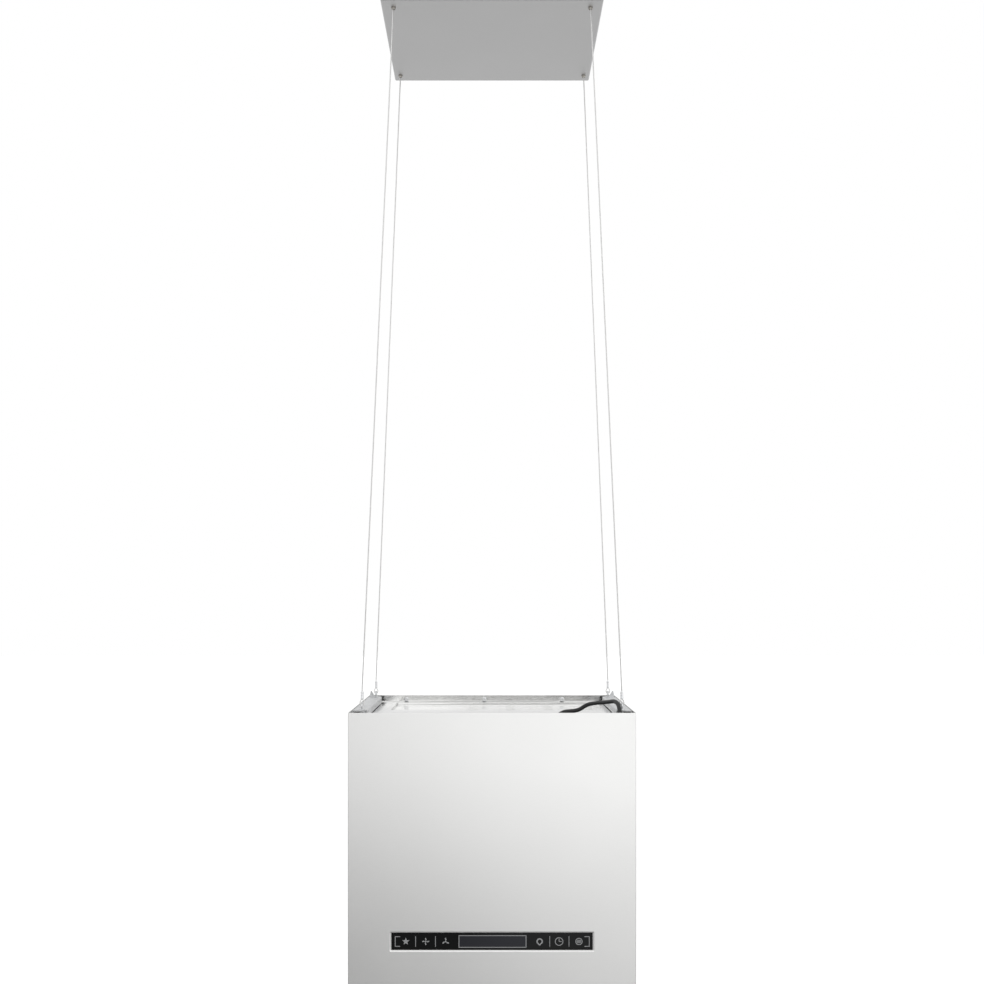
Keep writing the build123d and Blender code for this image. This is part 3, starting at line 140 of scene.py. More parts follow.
class HoodColours(bpy.types.PropertyGroup):
    """Colours that a user may change."""

    steel: shade("Shell steel", "Satin stainless steel", "#E3E3E2")
    cover: shade("Ceiling cover", "Matt steel of the ceiling cover", "#D3D3D3")
    zinc: shade("Zinc", "Galvanised inner sheet", "#CCCDCE")
    rubber: shade("Lead", "Black rubber of the mains lead", "#1B1B1C")
    glass: shade("Panel glass", "Black back-printed glass", "#08090A")
    symbols: shade("Symbols", "Grey print on the glass", "#8F9091")
    display: shade("Display", "Unlit display window", "#1F2026")


def sizes():
    return bpy.context.scene.hood_sizes


# Materials


def add_node(tree, kind, settings=None, links=None):
    """Adds one shader node, sets its sockets or properties and links its inputs."""
    made = tree.nodes.new("ShaderNode" + kind)
    for key, value in (settings or {}).items():
        if isinstance(key, int) or key in made.inputs:
            made.inputs[key].default_value = value
        else:
            setattr(made, key, value)
    for key, source in (links or {}).items():
        tree.links.new(source, made.inputs[key])
    return made


def new_material(name, colour, metallic=0.0, roughness=0.5, **sockets):
    """A material with one Principled shader, and its tree and shader."""
    material = bpy.data.materials.new(name)
    material.use_nodes = True
    tree = material.node_tree
    shader = tree.nodes["Principled BSDF"]
    sockets.update(Base_Color=(*colour, 1), Metallic=metallic, Roughness=roughness)
    for key, value in sockets.items():
        shader.inputs[key.replace("_", " ")].default_value = value
    return material, tree, shader


def texture(tree, kind, scale, settings=None):
    """A texture on the object's own coordinates, scale in patterns per metre."""
    if not isinstance(scale, tuple):
        scale = (scale,) * 3
    own = add_node(tree, "TexCoord")
    where = add_node(tree, "Mapping", {"Scale": scale}, {"Vector": own.outputs["Object"]})
    return add_node(tree, "Tex" + kind, {"Scale": 1.0, **(settings or {})}, {"Vector": where.outputs[0]})


def calculate(tree, operation, *inputs):
    """The result of a math node; each input is a number or another node's result."""
    made = add_node(tree, "Math", {"operation": operation})
    for socket, given in zip(made.inputs, inputs):
        if isinstance(given, bpy.types.NodeSocket):
            tree.links.new(given, socket)
        else:
            socket.default_value = given
    return made.outputs[0]


def spread(tree, value, low, high, start=0.0, end=1.0, **settings):
    """Maps a value from start and end to low and high."""
    edges = {"From Min": start, "From Max": end, "To Min": low, "To Max": high}
    return add_node(tree, "MapRange", {**settings, **edges}, {"Value": value}).outputs[0]


def wear(tree, shader, value, low, high, start=0.0, end=1.0):
    """Lets a texture value vary the roughness."""
    tree.links.new(spread(tree, value, low, high, start, end), shader.inputs["Roughness"])


def tint(tree, shader, colour, value, low, high):
    """Lets a texture value darken and lighten the base colour."""
    level = spread(tree, value, low, high, 0.3, 0.7)
    mixed = add_node(tree, "VectorMath", {"operation": "SCALE", 0: colour}, {"Scale": level})
    tree.links.new(mixed.outputs[0], shader.inputs["Base Color"])


def bump(tree, shader, value, depth, strength):
    node = add_node(tree, "Bump", {"Distance": depth, "Strength": strength}, {"Height": value})
    tree.links.new(node.outputs[0], shader.inputs["Normal"])


def greys(tree, source):
    """The red and green channels of a pattern's random colours."""
    return add_node(tree, "SeparateColor", links={0: source.outputs["Color"]}).outputs[:2]


# scratches 9 mm long and 0.35 mm apart, as coarse as the render can show
SCRATCHES = (1 / (9 * MM), 1 / (9 * MM), 1 / (0.35 * MM))
# slow clouds 90 mm wide, from the rolling of the sheet
CLOUDS = 11.0


def satin_stainless(name, colour, roughness, grain=SCRATCHES, relief=0.35, stretch=0.35):
    """Stainless sheet, ground satin: fine short scratches on one line blur what it mirrors."""
    material, tree, shader = new_material(name, colour, 1.0, roughness, Anisotropic=stretch)
    scratch = texture(tree, "Noise", grain, {"Detail": 4.0, "Roughness": 0.6}).outputs[0]
    cloud = texture(tree, "Noise", CLOUDS, {"Detail": 2.0}).outputs[0]
    both = calculate(tree, "MULTIPLY_ADD", cloud, 0.35, scratch)
    wear(tree, shader, both, roughness - 0.035, roughness + 0.035, 0.45, 0.95)
    tint(tree, shader, colour, scratch, 0.985, 1.012)
    bump(tree, shader, scratch, 0.004 * MM, relief)
    return material


def galvanised_sheet(name, colour, cell=7 * MM, roughness=0.42):
    """Hot-dip galvanised sheet: zinc crystals of a few millimetres catch the light one by one."""
    material, tree, shader = new_material(name, colour, 0.9, roughness)
    dull, pale = greys(tree, texture(tree, "Voronoi", 1 / cell, {"Randomness": 1.0}))
    fine = texture(tree, "Noise", 1 / (1.2 * MM), {"Detail": 3.0}).outputs[0]
    wear(tree, shader, dull, roughness - 0.08, roughness + 0.1)
    tint(tree, shader, colour, pale, 0.92, 1.04)
    bump(tree, shader, fine, 0.01 * MM, 0.4)
    return material


def worked_metal(name, colour, roughness, grit=0.8 * MM, depth=0.01 * MM):
    """Turned, pressed or plated metal: an even shine with small dull spots."""
    material, tree, shader = new_material(name, colour, 1.0, roughness)
    spots = texture(tree, "Noise", 1 / grit, {"Detail": 4.0, "Roughness": 0.65}).outputs[0]
    wear(tree, shader, spots, roughness - 0.06, roughness + 0.12, 0.3, 0.75)
    tint(tree, shader, colour, spots, 0.95, 1.03)
    bump(tree, shader, spots, depth, 0.4)
    return material


def moulded_plastic(name, colour, roughness, grain=0.5 * MM, depth=0.02 * MM):
    """Injection-moulded plastic: an eroded grain of the mould dulls its gloss."""
    material, tree, shader = new_material(name, colour, 0.0, roughness)
    pits = texture(tree, "Voronoi", 1 / grain, {"feature": "SMOOTH_F1", "Smoothness": 0.6}).outputs[0]
    cloud = texture(tree, "Noise", 1 / (14 * MM), {"Detail": 3.0}).outputs[0]
    wear(tree, shader, cloud, roughness - 0.05, roughness + 0.06, 0.3, 0.7)
    tint(tree, shader, colour, cloud, 0.93, 1.07)
    bump(tree, shader, pits, depth, 0.5)
    return material


def polished_glass(name, colour, roughness, **sockets):
    """Tempered glass, fire-polished: a sharp gloss with a trace of finger film."""
    material, tree, shader = new_material(name, colour, 0.0, roughness, **sockets)
    film = texture(tree, "Noise", 1 / (16 * MM), {"Detail": 5.0}).outputs[0]
    wear(tree, shader, film, roughness, roughness + 0.07, 0.4, 0.75)
    return material


def granules(name, colour):
    """Activated carbon granules of two millimetres: matt, broken and uneven."""
    material, tree, shader = new_material(name, colour, 0.0, 0.85)
    grains = texture(tree, "Voronoi", 1 / (2.2 * MM))
    tint(tree, shader, colour, greys(tree, grains)[0], 0.6, 1.5)
    bump(tree, shader, grains.outputs["Distance"], 1.0 * MM, 0.9)
    return material


def wire_fleece(name, colour):
    """Layers of woven aluminium wire: crossing bright threads over gaps darkened with painted shade."""
    material, tree, shader = new_material(name, colour, 1.0, 0.4)
    # bright threads about 3 mm apart, both ways
    threads = [
        texture(
            tree, "Wave", 1 / (1.6 * MM) / 6.28, {"Distortion": 1.4, "bands_direction": way}
        ).outputs["Fac"]
        for way in ("X", "Y")
    ]
    threads_and_gap_shade = calculate(tree, "MAXIMUM", *threads)
    # painted shade: the gaps between the threads are darkened to a third of the wire's colour, as if the deeper
    # layers lay in shade
    tint(tree, shader, colour, threads_and_gap_shade, 0.35, 1.0)
    bump(tree, shader, threads_and_gap_shade, 0.5 * MM, 0.8)
    return material


def circuit_board(name, colour):
    """Glass-fibre laminate under solder mask: tracks show as slightly lighter lanes."""
    material, tree, shader = new_material(name, colour, 0.0, 0.38, Coat_Weight=0.3)
    paints = {"Color1": (1, 1, 1, 1), "Color2": (0.8, 0.8, 0.8, 1), "Mortar": (0.3, 0.3, 0.3, 1)}
    lanes = texture(tree, "Brick", 1 / (5 * MM), {"Mortar Size": 0.16, **paints})
    tint(tree, shader, colour, greys(tree, lanes)[0], 1.25, 0.95)
    bump(tree, shader, lanes.outputs["Fac"], 0.05 * MM, 0.5)
    return material


def make_finishes():
    """All the hood's materials by a short name."""
    tone = bpy.context.scene.hood_colours
    return {
        # satin-ground stainless steel: pale, blurred reflections
        "shell": satin_stainless("stainless_steel_satin_ground", tone.steel, 0.33),
        # the same steel, cold rolled and left bare inside: clearer reflections, hardly any grain
        "rolled": satin_stainless(
            "stainless_steel_cold_rolled", tone.steel, 0.12, (140.0, 900.0, 900.0), 0.06, 0.0
        ),
        # the same sheet, ground coarser and left matt, so it looks flat grey from below
        "cover": satin_stainless(
            "stainless_steel_matt_ground", tone.cover, 0.5, (120.0, 2800.0, 2800.0), stretch=0.0
        ),
        # galvanised steel sheet: cloudy grey crystals
        "zinc": galvanised_sheet("steel_sheet_galvanised", tone.zinc),
        # bright zinc plating on screws and nuts: cold and shiny
        "screw": worked_metal("steel_bright_zinc_plated", linear("#D6D7D8"), 0.24),
        # drawn stainless wire: bright and smooth
        "wire": worked_metal("stainless_wire_drawn", linear("#E4E4E3"), 0.34, 0.4 * MM),
        # soft aluminium, pressed: dull silver
        "ferrule": worked_metal("aluminium_pressed", linear("#E8E9EA"), 0.34),
        # brass under satin nickel: warm grey
        "nickel": worked_metal("brass_satin_nickel_plated", linear("#ADA9A2"), 0.3),
        # bare rolled aluminium of the filter frame
        "aluminium": worked_metal("aluminium_mill_finish", linear("#C4C6C8"), 0.36, 3 * MM),
        # dark grey lacquer on the motor: half matt, slightly orange-peeled
        "motor": moulded_plastic("steel_grey_lacquered", linear("#4A4C4F"), 0.45, 1.5 * MM, 0.03 * MM),
        # chloroprene rubber jacket: black with a soft bloom
        "rubber": moulded_plastic("rubber_extruded_black", tone.rubber, 0.48, 0.7 * MM),
        # glass-filled nylon and ABS: black, fine grain
        "plastic": moulded_plastic("abs_moulded_black", linear("#1E1F20"), 0.5),
        "grey_plastic": moulded_plastic("polycarbonate_moulded_grey", linear("#8B8D8F"), 0.48),
        # black back-printed glass: deep black, only edges and gloss show
        "glass": polished_glass("glass_tempered_black", tone.glass, 0.05, Specular_IOR_Level=0.22),
        # ceramic ink on the glass: even mid grey
        "ink": moulded_plastic("ceramic_ink_grey", tone.symbols, 0.6, 0.3 * MM, 0.004 * MM),
        # polarising film of the unlit display: dark blue grey
        "display": polished_glass("display_film_unlit", tone.display, 0.16, Specular_IOR_Level=0.3),
        # sanded lamp lens: milky, with a soft edge
        "lens": polished_glass("glass_sanded", linear("#E6E8E8"), 0.35, Transmission_Weight=0.35),
        "board": circuit_board("laminate_green_mask", linear("#1D4A30")),
        "carbon": granules("activated_carbon", linear("#161616")),
        "fleece": wire_fleece("aluminium_wire_fleece", linear("#B5B7B8")),
    }


CABLES = ("cable_front_left", "cable_front_right", "cable_rear_left", "cable_rear_right")
# The CAD nodes that have no finer shape of their own, by their finish
NODE_FINISH = {
    "rolled": ("outlet_diffuser",),
    "zinc": (
        "ceiling_plate", "scroll_wrap", "scroll_side_left", "scroll_side_right", "inlet_ring_left",
        "inlet_ring_right", "impeller_blades", "impeller_rings", "impeller_disc", "motor_bracket",
    ),
    "screw": ("diffuser_screws", "motor_shaft", "shaft_bearings", "motor_screws"),
    "aluminium": ("lamp_bodies",),
    "fleece": ("grease_filter_core",),
    "motor": ("motor_body",),
    "plastic": ("carbon_filter_left", "carbon_filter_right", "latch_housing", "control_housing"),
    "grey_plastic": ("power_box", "power_box_lid"),
    "carbon": ("carbon_pad_left", "carbon_pad_right"),
    "display": ("display_module",),
    "board": ("control_board",),
}
FINISH = {}


# Modelling steps


def clear_selection():
    if bpy.context.object and bpy.context.object.mode != "OBJECT":
        bpy.ops.object.mode_set(mode="OBJECT")
    bpy.ops.object.select_all(action="DESELECT")


def activate(*pieces):
    """Closes edit mode and selects these pieces alone, the first one active."""
    clear_selection()
    for piece in pieces:
        piece.select_set(True)
    bpy.context.view_layer.objects.active = pieces[0]


def primitive(kind, name, **how):
    """Adds a primitive with nothing else selected, names it and keeps its place in its mesh."""
    clear_selection()
    getattr(bpy.ops.mesh, "primitive_" + kind + "_add")(**how)
    piece = bpy.context.object
    piece.name = name
    bpy.ops.object.transform_apply(location=True, rotation=True, scale=True)
    return piece


def place(piece, at=(0, 0, 0), turn=(0, 0, 0)):
    """Moves and turns a piece about the origin and keeps its place in its mesh."""
    activate(piece)
    piece.location = at
    piece.rotation_euler = turn
    bpy.ops.object.transform_apply(location=True, rotation=True, scale=True)
    return piece


def block(name, low, high, kind="cube"):
    """A box, or with kind plane a flat sheet, between two corners."""
    low, high = Vector(low), Vector(high)
    piece = primitive(kind, name, size=1.0)
    piece.scale = high - low if kind == "cube" else (high.x - low.x, high.y - low.y, 1)
    return place(piece, (low + high) / 2)


def spot(x, y, z, turn=(0, 0, 0)):
    """A place and a turn for one copy of a piece."""
    return Matrix.LocRotScale(Vector((x, y, z)), Euler(turn), None)


def every(where, way):
    """The test that everything passes."""
    return True


def pick(piece, kind, test):
    """Opens edit mode and selects the corners, edges or faces that pass a test of place and direction."""
    if piece.mode != "EDIT":
        activate(piece)
        bpy.ops.object.mode_set(mode="EDIT")
    bpy.ops.mesh.select_mode(type=kind)
    bpy.ops.mesh.select_all(action="DESELECT")
    mesh = bmesh.from_edit_mesh(piece.data)
    if kind == "FACE":
        chosen = [f for f in mesh.faces if test(f.calc_center_median(), f.normal)]
    elif kind == "EDGE":
        ends = [(e, e.verts[0].co, e.verts[1].co) for e in mesh.edges]
        chosen = [e for e, a, b in ends if test((a + b) / 2, (b - a).normalized())]
    else:
        chosen = [v for v in mesh.verts if test(v.co, v.normal)]
    for part in chosen:
        part.select = True
    mesh.select_flush(True) if kind == "VERT" else mesh.select_flush_mode()
    bmesh.update_edit_mesh(piece.data)


def edit_all(piece, kind):
    """Opens edit mode with everything selected."""
    activate(piece)
    bpy.ops.object.mode_set(mode="EDIT")
    bpy.ops.mesh.select_mode(type=kind)
    bpy.ops.mesh.select_all(action="SELECT")


def remove(piece, test):
    """Deletes the faces that pass a test."""
    pick(piece, "FACE", test)
    bpy.ops.mesh.delete(type="FACE")


def hollow(piece, test, width):
    """Opens a face and leaves a flange of this width round it."""
    pick(piece, "FACE", test)
    bpy.ops.mesh.inset(thickness=width)
    bpy.ops.mesh.delete(type="FACE")


def split(piece, axis, value, test=every, way=1, **how):
    """Cuts the faces that pass a test along a plane across an axis."""
    point, normal = [0, 0, 0], [0, 0, 0]
    point[axis], normal[axis] = value, way
    pick(piece, "FACE", test)
    bpy.ops.mesh.bisect(plane_co=point, plane_no=normal, **how)


def round_corners(piece, test, radius, segments=4):
    """Rounds the corners that pass a test in the plane of their face."""
    pick(piece, "VERT", test)
    bpy.ops.mesh.bevel(offset=radius, segments=segments, affect="VERTICES")


def fold(piece, test, move):
    """Draws a wall out of the edges that pass a test."""
    pick(piece, "EDGE", test)
    bpy.ops.mesh.extrude_edges_move(TRANSFORM_OT_translate={"value": move})


def bend(piece, test, radius, segments=4):
    """Rounds the folds that pass a test."""
    pick(piece, "EDGE", test)
    bpy.ops.mesh.bevel(offset=radius, segments=segments, affect="EDGES")


def resize(scale, centre):
    """Scales what is selected about a point, but not upwards."""
    bpy.ops.transform.resize(value=(*scale, 1), center_override=centre)


def modify(piece, kind, **settings):
    """Adds a modifier and applies it at once."""
    activate(piece)
    made = piece.modifiers.new(kind.lower(), kind)
    for key, value in settings.items():
        setattr(made, key, value)
    bpy.ops.object.modifier_apply(modifier=made.name)
    return piece


def soften(piece, width, segments=2, angle=35):
    """Breaks sharp edges, as deburring does."""
    return modify(
        piece, "BEVEL", width=width, segments=segments, limit_method="ANGLE",
        angle_limit=radians(angle), use_clamp_overlap=False, miter_outer="MITER_ARC",
    )


def thicken(piece, sheet, edge=None):
    """Gives a folded sheet its thickness behind its faces, and may break its cut edges."""
    modify(piece, "SOLIDIFY", thickness=sheet, offset=-1.0, use_even_offset=True)
    return soften(piece, edge) if edge else piece


def join(pieces, name):
    activate(*pieces)
    if len(pieces) > 1:
        bpy.ops.object.join()
    made = bpy.context.object
    made.name = name
    return made


def repeat(piece, places, name):
    """One copy with its own mesh at each place, joined to one piece."""
    clear_selection()
    copies = []
    for where in places:
        copy = piece.copy()
        copy.data = piece.data.copy()
        bpy.context.collection.objects.link(copy)
        copy.matrix_basis = where
        copies.append(copy)
    bpy.data.objects.remove(piece)
    activate(*copies)
    bpy.ops.object.transform_apply(location=True, rotation=True, scale=True)
    return join(copies, name)


def cut(piece, cutter):
    """Cuts another piece's shape out of this one."""
    modify(piece, "BOOLEAN", operation="DIFFERENCE", object=cutter, solver="EXACT")
    bpy.data.objects.remove(cutter)
    return piece


def drill(piece, radius, depth, at, turn=(0, 0, 0), vertices=24):
    """Bores a round hole, the middle of its depth at a place."""
    return cut(piece, primitive(
        "cylinder", "drill", vertices=vertices, radius=radius, depth=depth, location=at, rotation=turn
    ))


def open_sheet(piece, x0, x1, y0, y1, corner=0.0):
    """Cuts a rectangle out of a flat sheet, with rounded corners if they are given."""
    for axis, value in ((0, x0), (0, x1), (1, y0), (1, y1)):
        split(piece, axis, value)
    if corner:
        round_corners(
            piece,
            lambda p, n: min(abs(p.x - x0), abs(p.x - x1)) < EPS and min(abs(p.y - y0), abs(p.y - y1)) < EPS,
            corner,
        )

    def inside(c, n):
        """True within the rectangle, away from the small faces that a rounded corner leaves."""
        along, across = min(c.x - x0, x1 - c.x), min(c.y - y0, y1 - c.y)
        return min(along, across) > 0 and max(along, across) >= corner / 2

    remove(piece, inside)


def pan(name, opening, low, high, sheet, corner):
    """The inner faces of a drawn pan below an opening, with flanges out to its box."""
    x0, x1, y0, y1 = opening
    floor = low.z + sheet
    made = block(name, (x0, y0, floor), (x1, y1, floor), "plane")
    fold(made, every, (0, 0, high.z - floor))
    for axis, edge, reach in ((0, x0, low.x), (0, x1, high.x), (1, y0, low.y), (1, y1, high.y)):
        move = [0, 0, 0]
        move[axis] = reach - edge
        fold(made, lambda c, d: abs(c[axis] - edge) < EPS and c.z > high.z - EPS and abs(d.z) < 0.5, move)
    bend(made, lambda c, d: abs(d.z) > 0.9, corner)
    bend(made, lambda c, d: c.z < floor + EPS, min(corner * 0.6, (high.z - floor) * 0.4))
    return made


def settle(piece, body, slot, finish, *replaced, smooth=30):
    """Finishes a piece: shading, material, body and the CAD nodes that it replaces; the slot argument is not used.
    """
    activate(piece)
    bpy.ops.object.transform_apply(location=True, rotation=True, scale=True)
    if smooth:
        bpy.ops.object.shade_smooth_by_angle(angle=radians(smooth))
    if 0 < smooth < 40:
        # the large flat faces keep their own direction up to the rounded edges
        modify(piece, "WEIGHTED_NORMAL", keep_sharp=True)
    piece.data.materials.clear()
    piece.data.materials.append(FINISH[finish])
    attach(piece, body)
    if replaced:
        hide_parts(*replaced)
    return piece


def outward(piece, merge=0.002 * MM):
    """Merges doubles and turns the faces outwards."""
    edit_all(piece, "FACE")
    bpy.ops.mesh.remove_doubles(threshold=merge)
    bpy.ops.mesh.normals_make_consistent(inside=False)
    bpy.ops.object.mode_set(mode="OBJECT")
    return piece


def refined(node, name, width, segments=2, angle=35):
    """A merged copy of a CAD node with its sharp edges broken."""
    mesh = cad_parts[node].data.copy()
    piece = bpy.data.objects.new(name, mesh)
    bpy.context.collection.objects.link(piece)
    edit_all(piece, "FACE")
    bpy.ops.mesh.remove_doubles(threshold=0.004 * MM)
    bpy.ops.mesh.dissolve_limited(angle_limit=radians(0.5))
    bpy.ops.mesh.normals_make_consistent(inside=False)
    bpy.ops.object.mode_set(mode="OBJECT")
    if mesh.has_custom_normals:
        bpy.ops.mesh.customdata_custom_splitnormals_clear()
    return soften(piece, width, segments, angle)


def turned(name, profile, segments, base=0.0):
    """A lathe-turned piece, closed at both ends: radii and heights over its base in millimetres."""
    points = [(max(r, 0.001) * MM, base + z * MM) for r, z in profile]
    piece = primitive("circle", name, vertices=segments, radius=points[0][0], fill_type="NGON")
    edit_all(piece, "FACE")
    bpy.ops.transform.translate(value=(0, 0, points[0][1]))
    for (r0, z0), (r1, z1) in zip(points, points[1:]):
        bpy.ops.mesh.extrude_region_move(TRANSFORM_OT_translate={"value": (0, 0, z1 - z0)})
        resize((r1 / r0, r1 / r0), (0, 0, z1))
    return outward(piece)


def ribs(count, start, reach, radii, share, grooves):
    """Profile points of ribs along a length: each rib fills a share of its step, then comes a groove."""
    step = reach / count
    for k in range(count):
        r = radii[0] + (radii[1] - radii[0]) * k / count
        z = start + step * k
        yield from ((r, z), (r, z + step * share))
        yield from ((r - grooves[0], z + step * (share + 0.05)), (r - grooves[1], z + step * 0.98))


def knurl(piece, low, high, facets, width, depth):
    """Presses in every second face of a turned side between two heights."""
    turn = 360 / facets
    pick(piece, "FACE", lambda c, n: low < c.z < high and abs(n.z) < 0.2
         and round(degrees(atan2(c.y, c.x)) / turn - 0.5) % 2)
    bpy.ops.mesh.inset(thickness=width, depth=-depth, use_individual=True)


def round_bar(name, kind, points, radius, round_steps, steps):
    """A bar of round section along a line of points, its ends closed."""
    line = bpy.data.curves.new(name, "CURVE")
    line.dimensions = "3D"
    line.bevel_depth = radius
    line.bevel_resolution = round_steps
    line.use_fill_caps = True
    spline = line.splines.new(kind)
    knots = spline.bezier_points if kind == "BEZIER" else spline.points
    knots.add(len(points) - 1)
    for knot, at in zip(knots, points):
        knot.co = at
    spline.resolution_u = steps
    piece = bpy.data.objects.new(name, line)
    bpy.context.collection.objects.link(piece)
    return piece, spline


# Tops and feet of the four cables: the grippers above them and the eyes below
GRIPPER_PLACES = [(side * x * MM, y * MM) for x, y in ((129, -108), (135.5, 108)) for side in (-1, 1)]
EYE_PLACES = [(side * 171 * MM, y * MM) for y in (-100, 100) for side in (-1, 1)]
COVER_SCREW_PLACES = [(sx * 145 * MM, sy * 20 * MM, -8.4 * MM) for sx in (-1, 1) for sy in (-1, 1)]
# a countersunk head's radius in millimetres
SUNK_HEAD = 2.8


def at_eyes(piece, name):
    """A copy of a piece at each of the four eyes."""
    return repeat(piece, [spot(x, y, 0) for x, y in EYE_PLACES], name)


def bottom_screw_places():
    """Where the six countersunk screws sit in the shell's bottom flange."""
    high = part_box("bottom_screws")[1]
    x, y = high.x - SUNK_HEAD * MM, high.y - SUNK_HEAD * MM
    return [(sx * x, sy * y) for sx in (-1, 1) for sy in (-1, 0, 1)]


def hexagon_nut(name, radius, height, bore, floor=0.0):
    """A chamfered hexagon nut, its underside at the height of the floor."""
    nut = primitive(
        "cylinder", name, vertices=6, radius=radius, depth=height, location=(0, 0, height / 2),
        rotation=(0, 0, radians(30)),
    )
    drill(nut, bore, 3 * height, (0, 0, 0), vertices=20)
    return place(soften(nut, 0.25 * MM), (0, 0, floor))


def cross_recess(screw, reach, half, low, high):
    """Presses a cross into a screw's head; the sizes are in millimetres."""
    for turn in (0, 90):
        slot = block("slot", (-reach * MM, -half * MM, low * MM), (reach * MM, half * MM, high * MM))
        cut(screw, place(slot, turn=(0, 0, radians(turn))))
    return screw


def pan_head_screw(radius, height, length, shank):
    """A pan head on the origin with a cross recess, its thread along -Z; sizes in millimetres."""
    screw = turned(
        "screw",
        [
            (shank * 0.7, -length), (shank, 0.5 - length), (shank, 0), (radius * 0.96, 0), (radius, 0.25),
            (radius, height * 0.45), (radius * 0.93, height * 0.75), (radius * 0.72, height * 0.95),
            (radius * 0.4, height),
        ],
        28,
    )
    return cross_recess(screw, radius * 0.58, 0.42, height * 0.35, height + 1)


def sunk_screw(radius, shank, sheet, length):
    """A countersunk screw, flush at the origin, its thread along -Z; sizes in millimetres."""
    screw = turned(
        "screw",
        [(shank * 0.6, -length), (shank, 0.6 - length), (shank, -sheet), (radius, 0), (radius * 0.5, 0)],
        28,
    )
    return cross_recess(screw, radius * 0.62, 0.4, -0.7, 1)


def laid_rope(name, length, diameter, lay):
    """A straight rope along +Z from the origin: six strands twisted round a core, ends closed."""
    strand = diameter / 6
    places = [(2 * strand * cos(k * pi / 3), 2 * strand * sin(k * pi / 3), 0) for k in range(6)]
    rings = [
        primitive("circle", "ring", vertices=5, radius=strand, location=at, fill_type="NOTHING")
        for at in places
    ]
    strands = join(rings, name)
    turns = round(length / lay)
    modify(
        strands, "SCREW", axis="Z", angle=2 * pi, screw_offset=length / turns, iterations=turns,
        steps=9, render_steps=9, use_merge_vertices=False, use_normal_calculate=True,
    )
    edit_all(strands, "EDGE")
    bpy.ops.mesh.select_all(action="DESELECT")
    bpy.ops.mesh.select_non_manifold()
    bpy.ops.mesh.fill_holes(sides=6)
    core = primitive(
        "cylinder", "core", vertices=6, radius=strand * 1.1, depth=length, location=(0, 0, length / 2)
    )
    return outward(join([strands, core], name), 0.0001 * MM)


# Operators


class HOOD_OT_finishes(bpy.types.Operator):
    """Makes the materials and gives each kept CAD node its own."""

    bl_idname = "hood.finishes"
    bl_label = "Finishes"

    def execute(self, context):
        FINISH.update(make_finishes())
        for finish, names in NODE_FINISH.items():
            for name in names:
                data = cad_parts[name].data
                data.materials.clear()
                data.materials.append(FINISH[finish])
        return {"FINISHED"}


class HOOD_OT_shell(bpy.types.Operator):
    """Folds the outer shell with its panel window, sloped lip and bottom flange."""

    bl_idname = "hood.shell"
    bl_label = "Outer shell"

    flange = 11.2 * MM
    collar = 7.3 * MM
    glass_gap = 0.3 * MM

    def execute(self, context):
        size = sizes()
        low = SHELL_LOW
        shell = block("shell", low, SHELL_HIGH)
        remove(shell, lambda c, n: n.z > 0.9)
        bend(shell, lambda c, d: abs(d.z) > 0.9 or c.z < low.z + EPS, size.bend, 5)
        hollow(shell, lambda c, n: n.z < -0.9 and c.xy.length < EPS, self.flange - size.bend)
        self.cut_window(shell, size)
        thicken(shell, size.sheet)
        sink = primitive(
            "cone", "sink", vertices=24, radius1=3.2 * MM, radius2=1.25 * MM, depth=1.8 * MM,
            location=(0, 0, 0.6 * MM),
        )
        cut(shell, repeat(sink, [spot(x, y, low.z) for x, y in bottom_screw_places()], "sinks"))
        soften(shell, size.edge)
        settle(shell, "hood", "brushed_shell", "shell", "outer_shell", smooth=35)
        return {"FINISHED"}

    def cut_window(self, shell, size):
        """Splits the front, then presses the lip and the collar inwards."""
        reach = (GLASS_HIGH - GLASS_LOW) / 2
        reach_x = reach.x + self.glass_gap + size.lip
        reach_z = reach.z + self.glass_gap + size.lip

        def on_front(c, n):
            return n.y < -0.99 and abs(c.y - SHELL_LOW.y) < 0.01 * MM

        for side in (-1, 1):
            split(shell, 0, side * reach_x, on_front)
        for side in (-1, 1):
            split(shell, 2, PANEL_Z + side * reach_z, on_front)
        round_corners(shell, lambda p, n: abs(abs(p.x) - reach_x) < 0.01 * MM
                      and abs(abs(p.z - PANEL_Z) - reach_z) < 0.01 * MM, 2.4 * MM)
        pick(shell, "FACE", lambda c, n: on_front(c, n) and abs(c.x) < 2 * MM and abs(c.z - PANEL_Z) < 2 * MM)
        # the press rounds the lip over: shallow, steep, then flatter again
        for width, depth in ((0.3, 0.12), (0.5, 0.6), (0.2, 0.28)):
            bpy.ops.mesh.inset(thickness=size.lip * width, depth=-size.lip_depth * depth)
        inwards = (0, self.collar - size.lip_depth, 0)
        bpy.ops.mesh.extrude_region_move(TRANSFORM_OT_translate={"value": inwards})
        bpy.ops.mesh.delete(type="FACE")


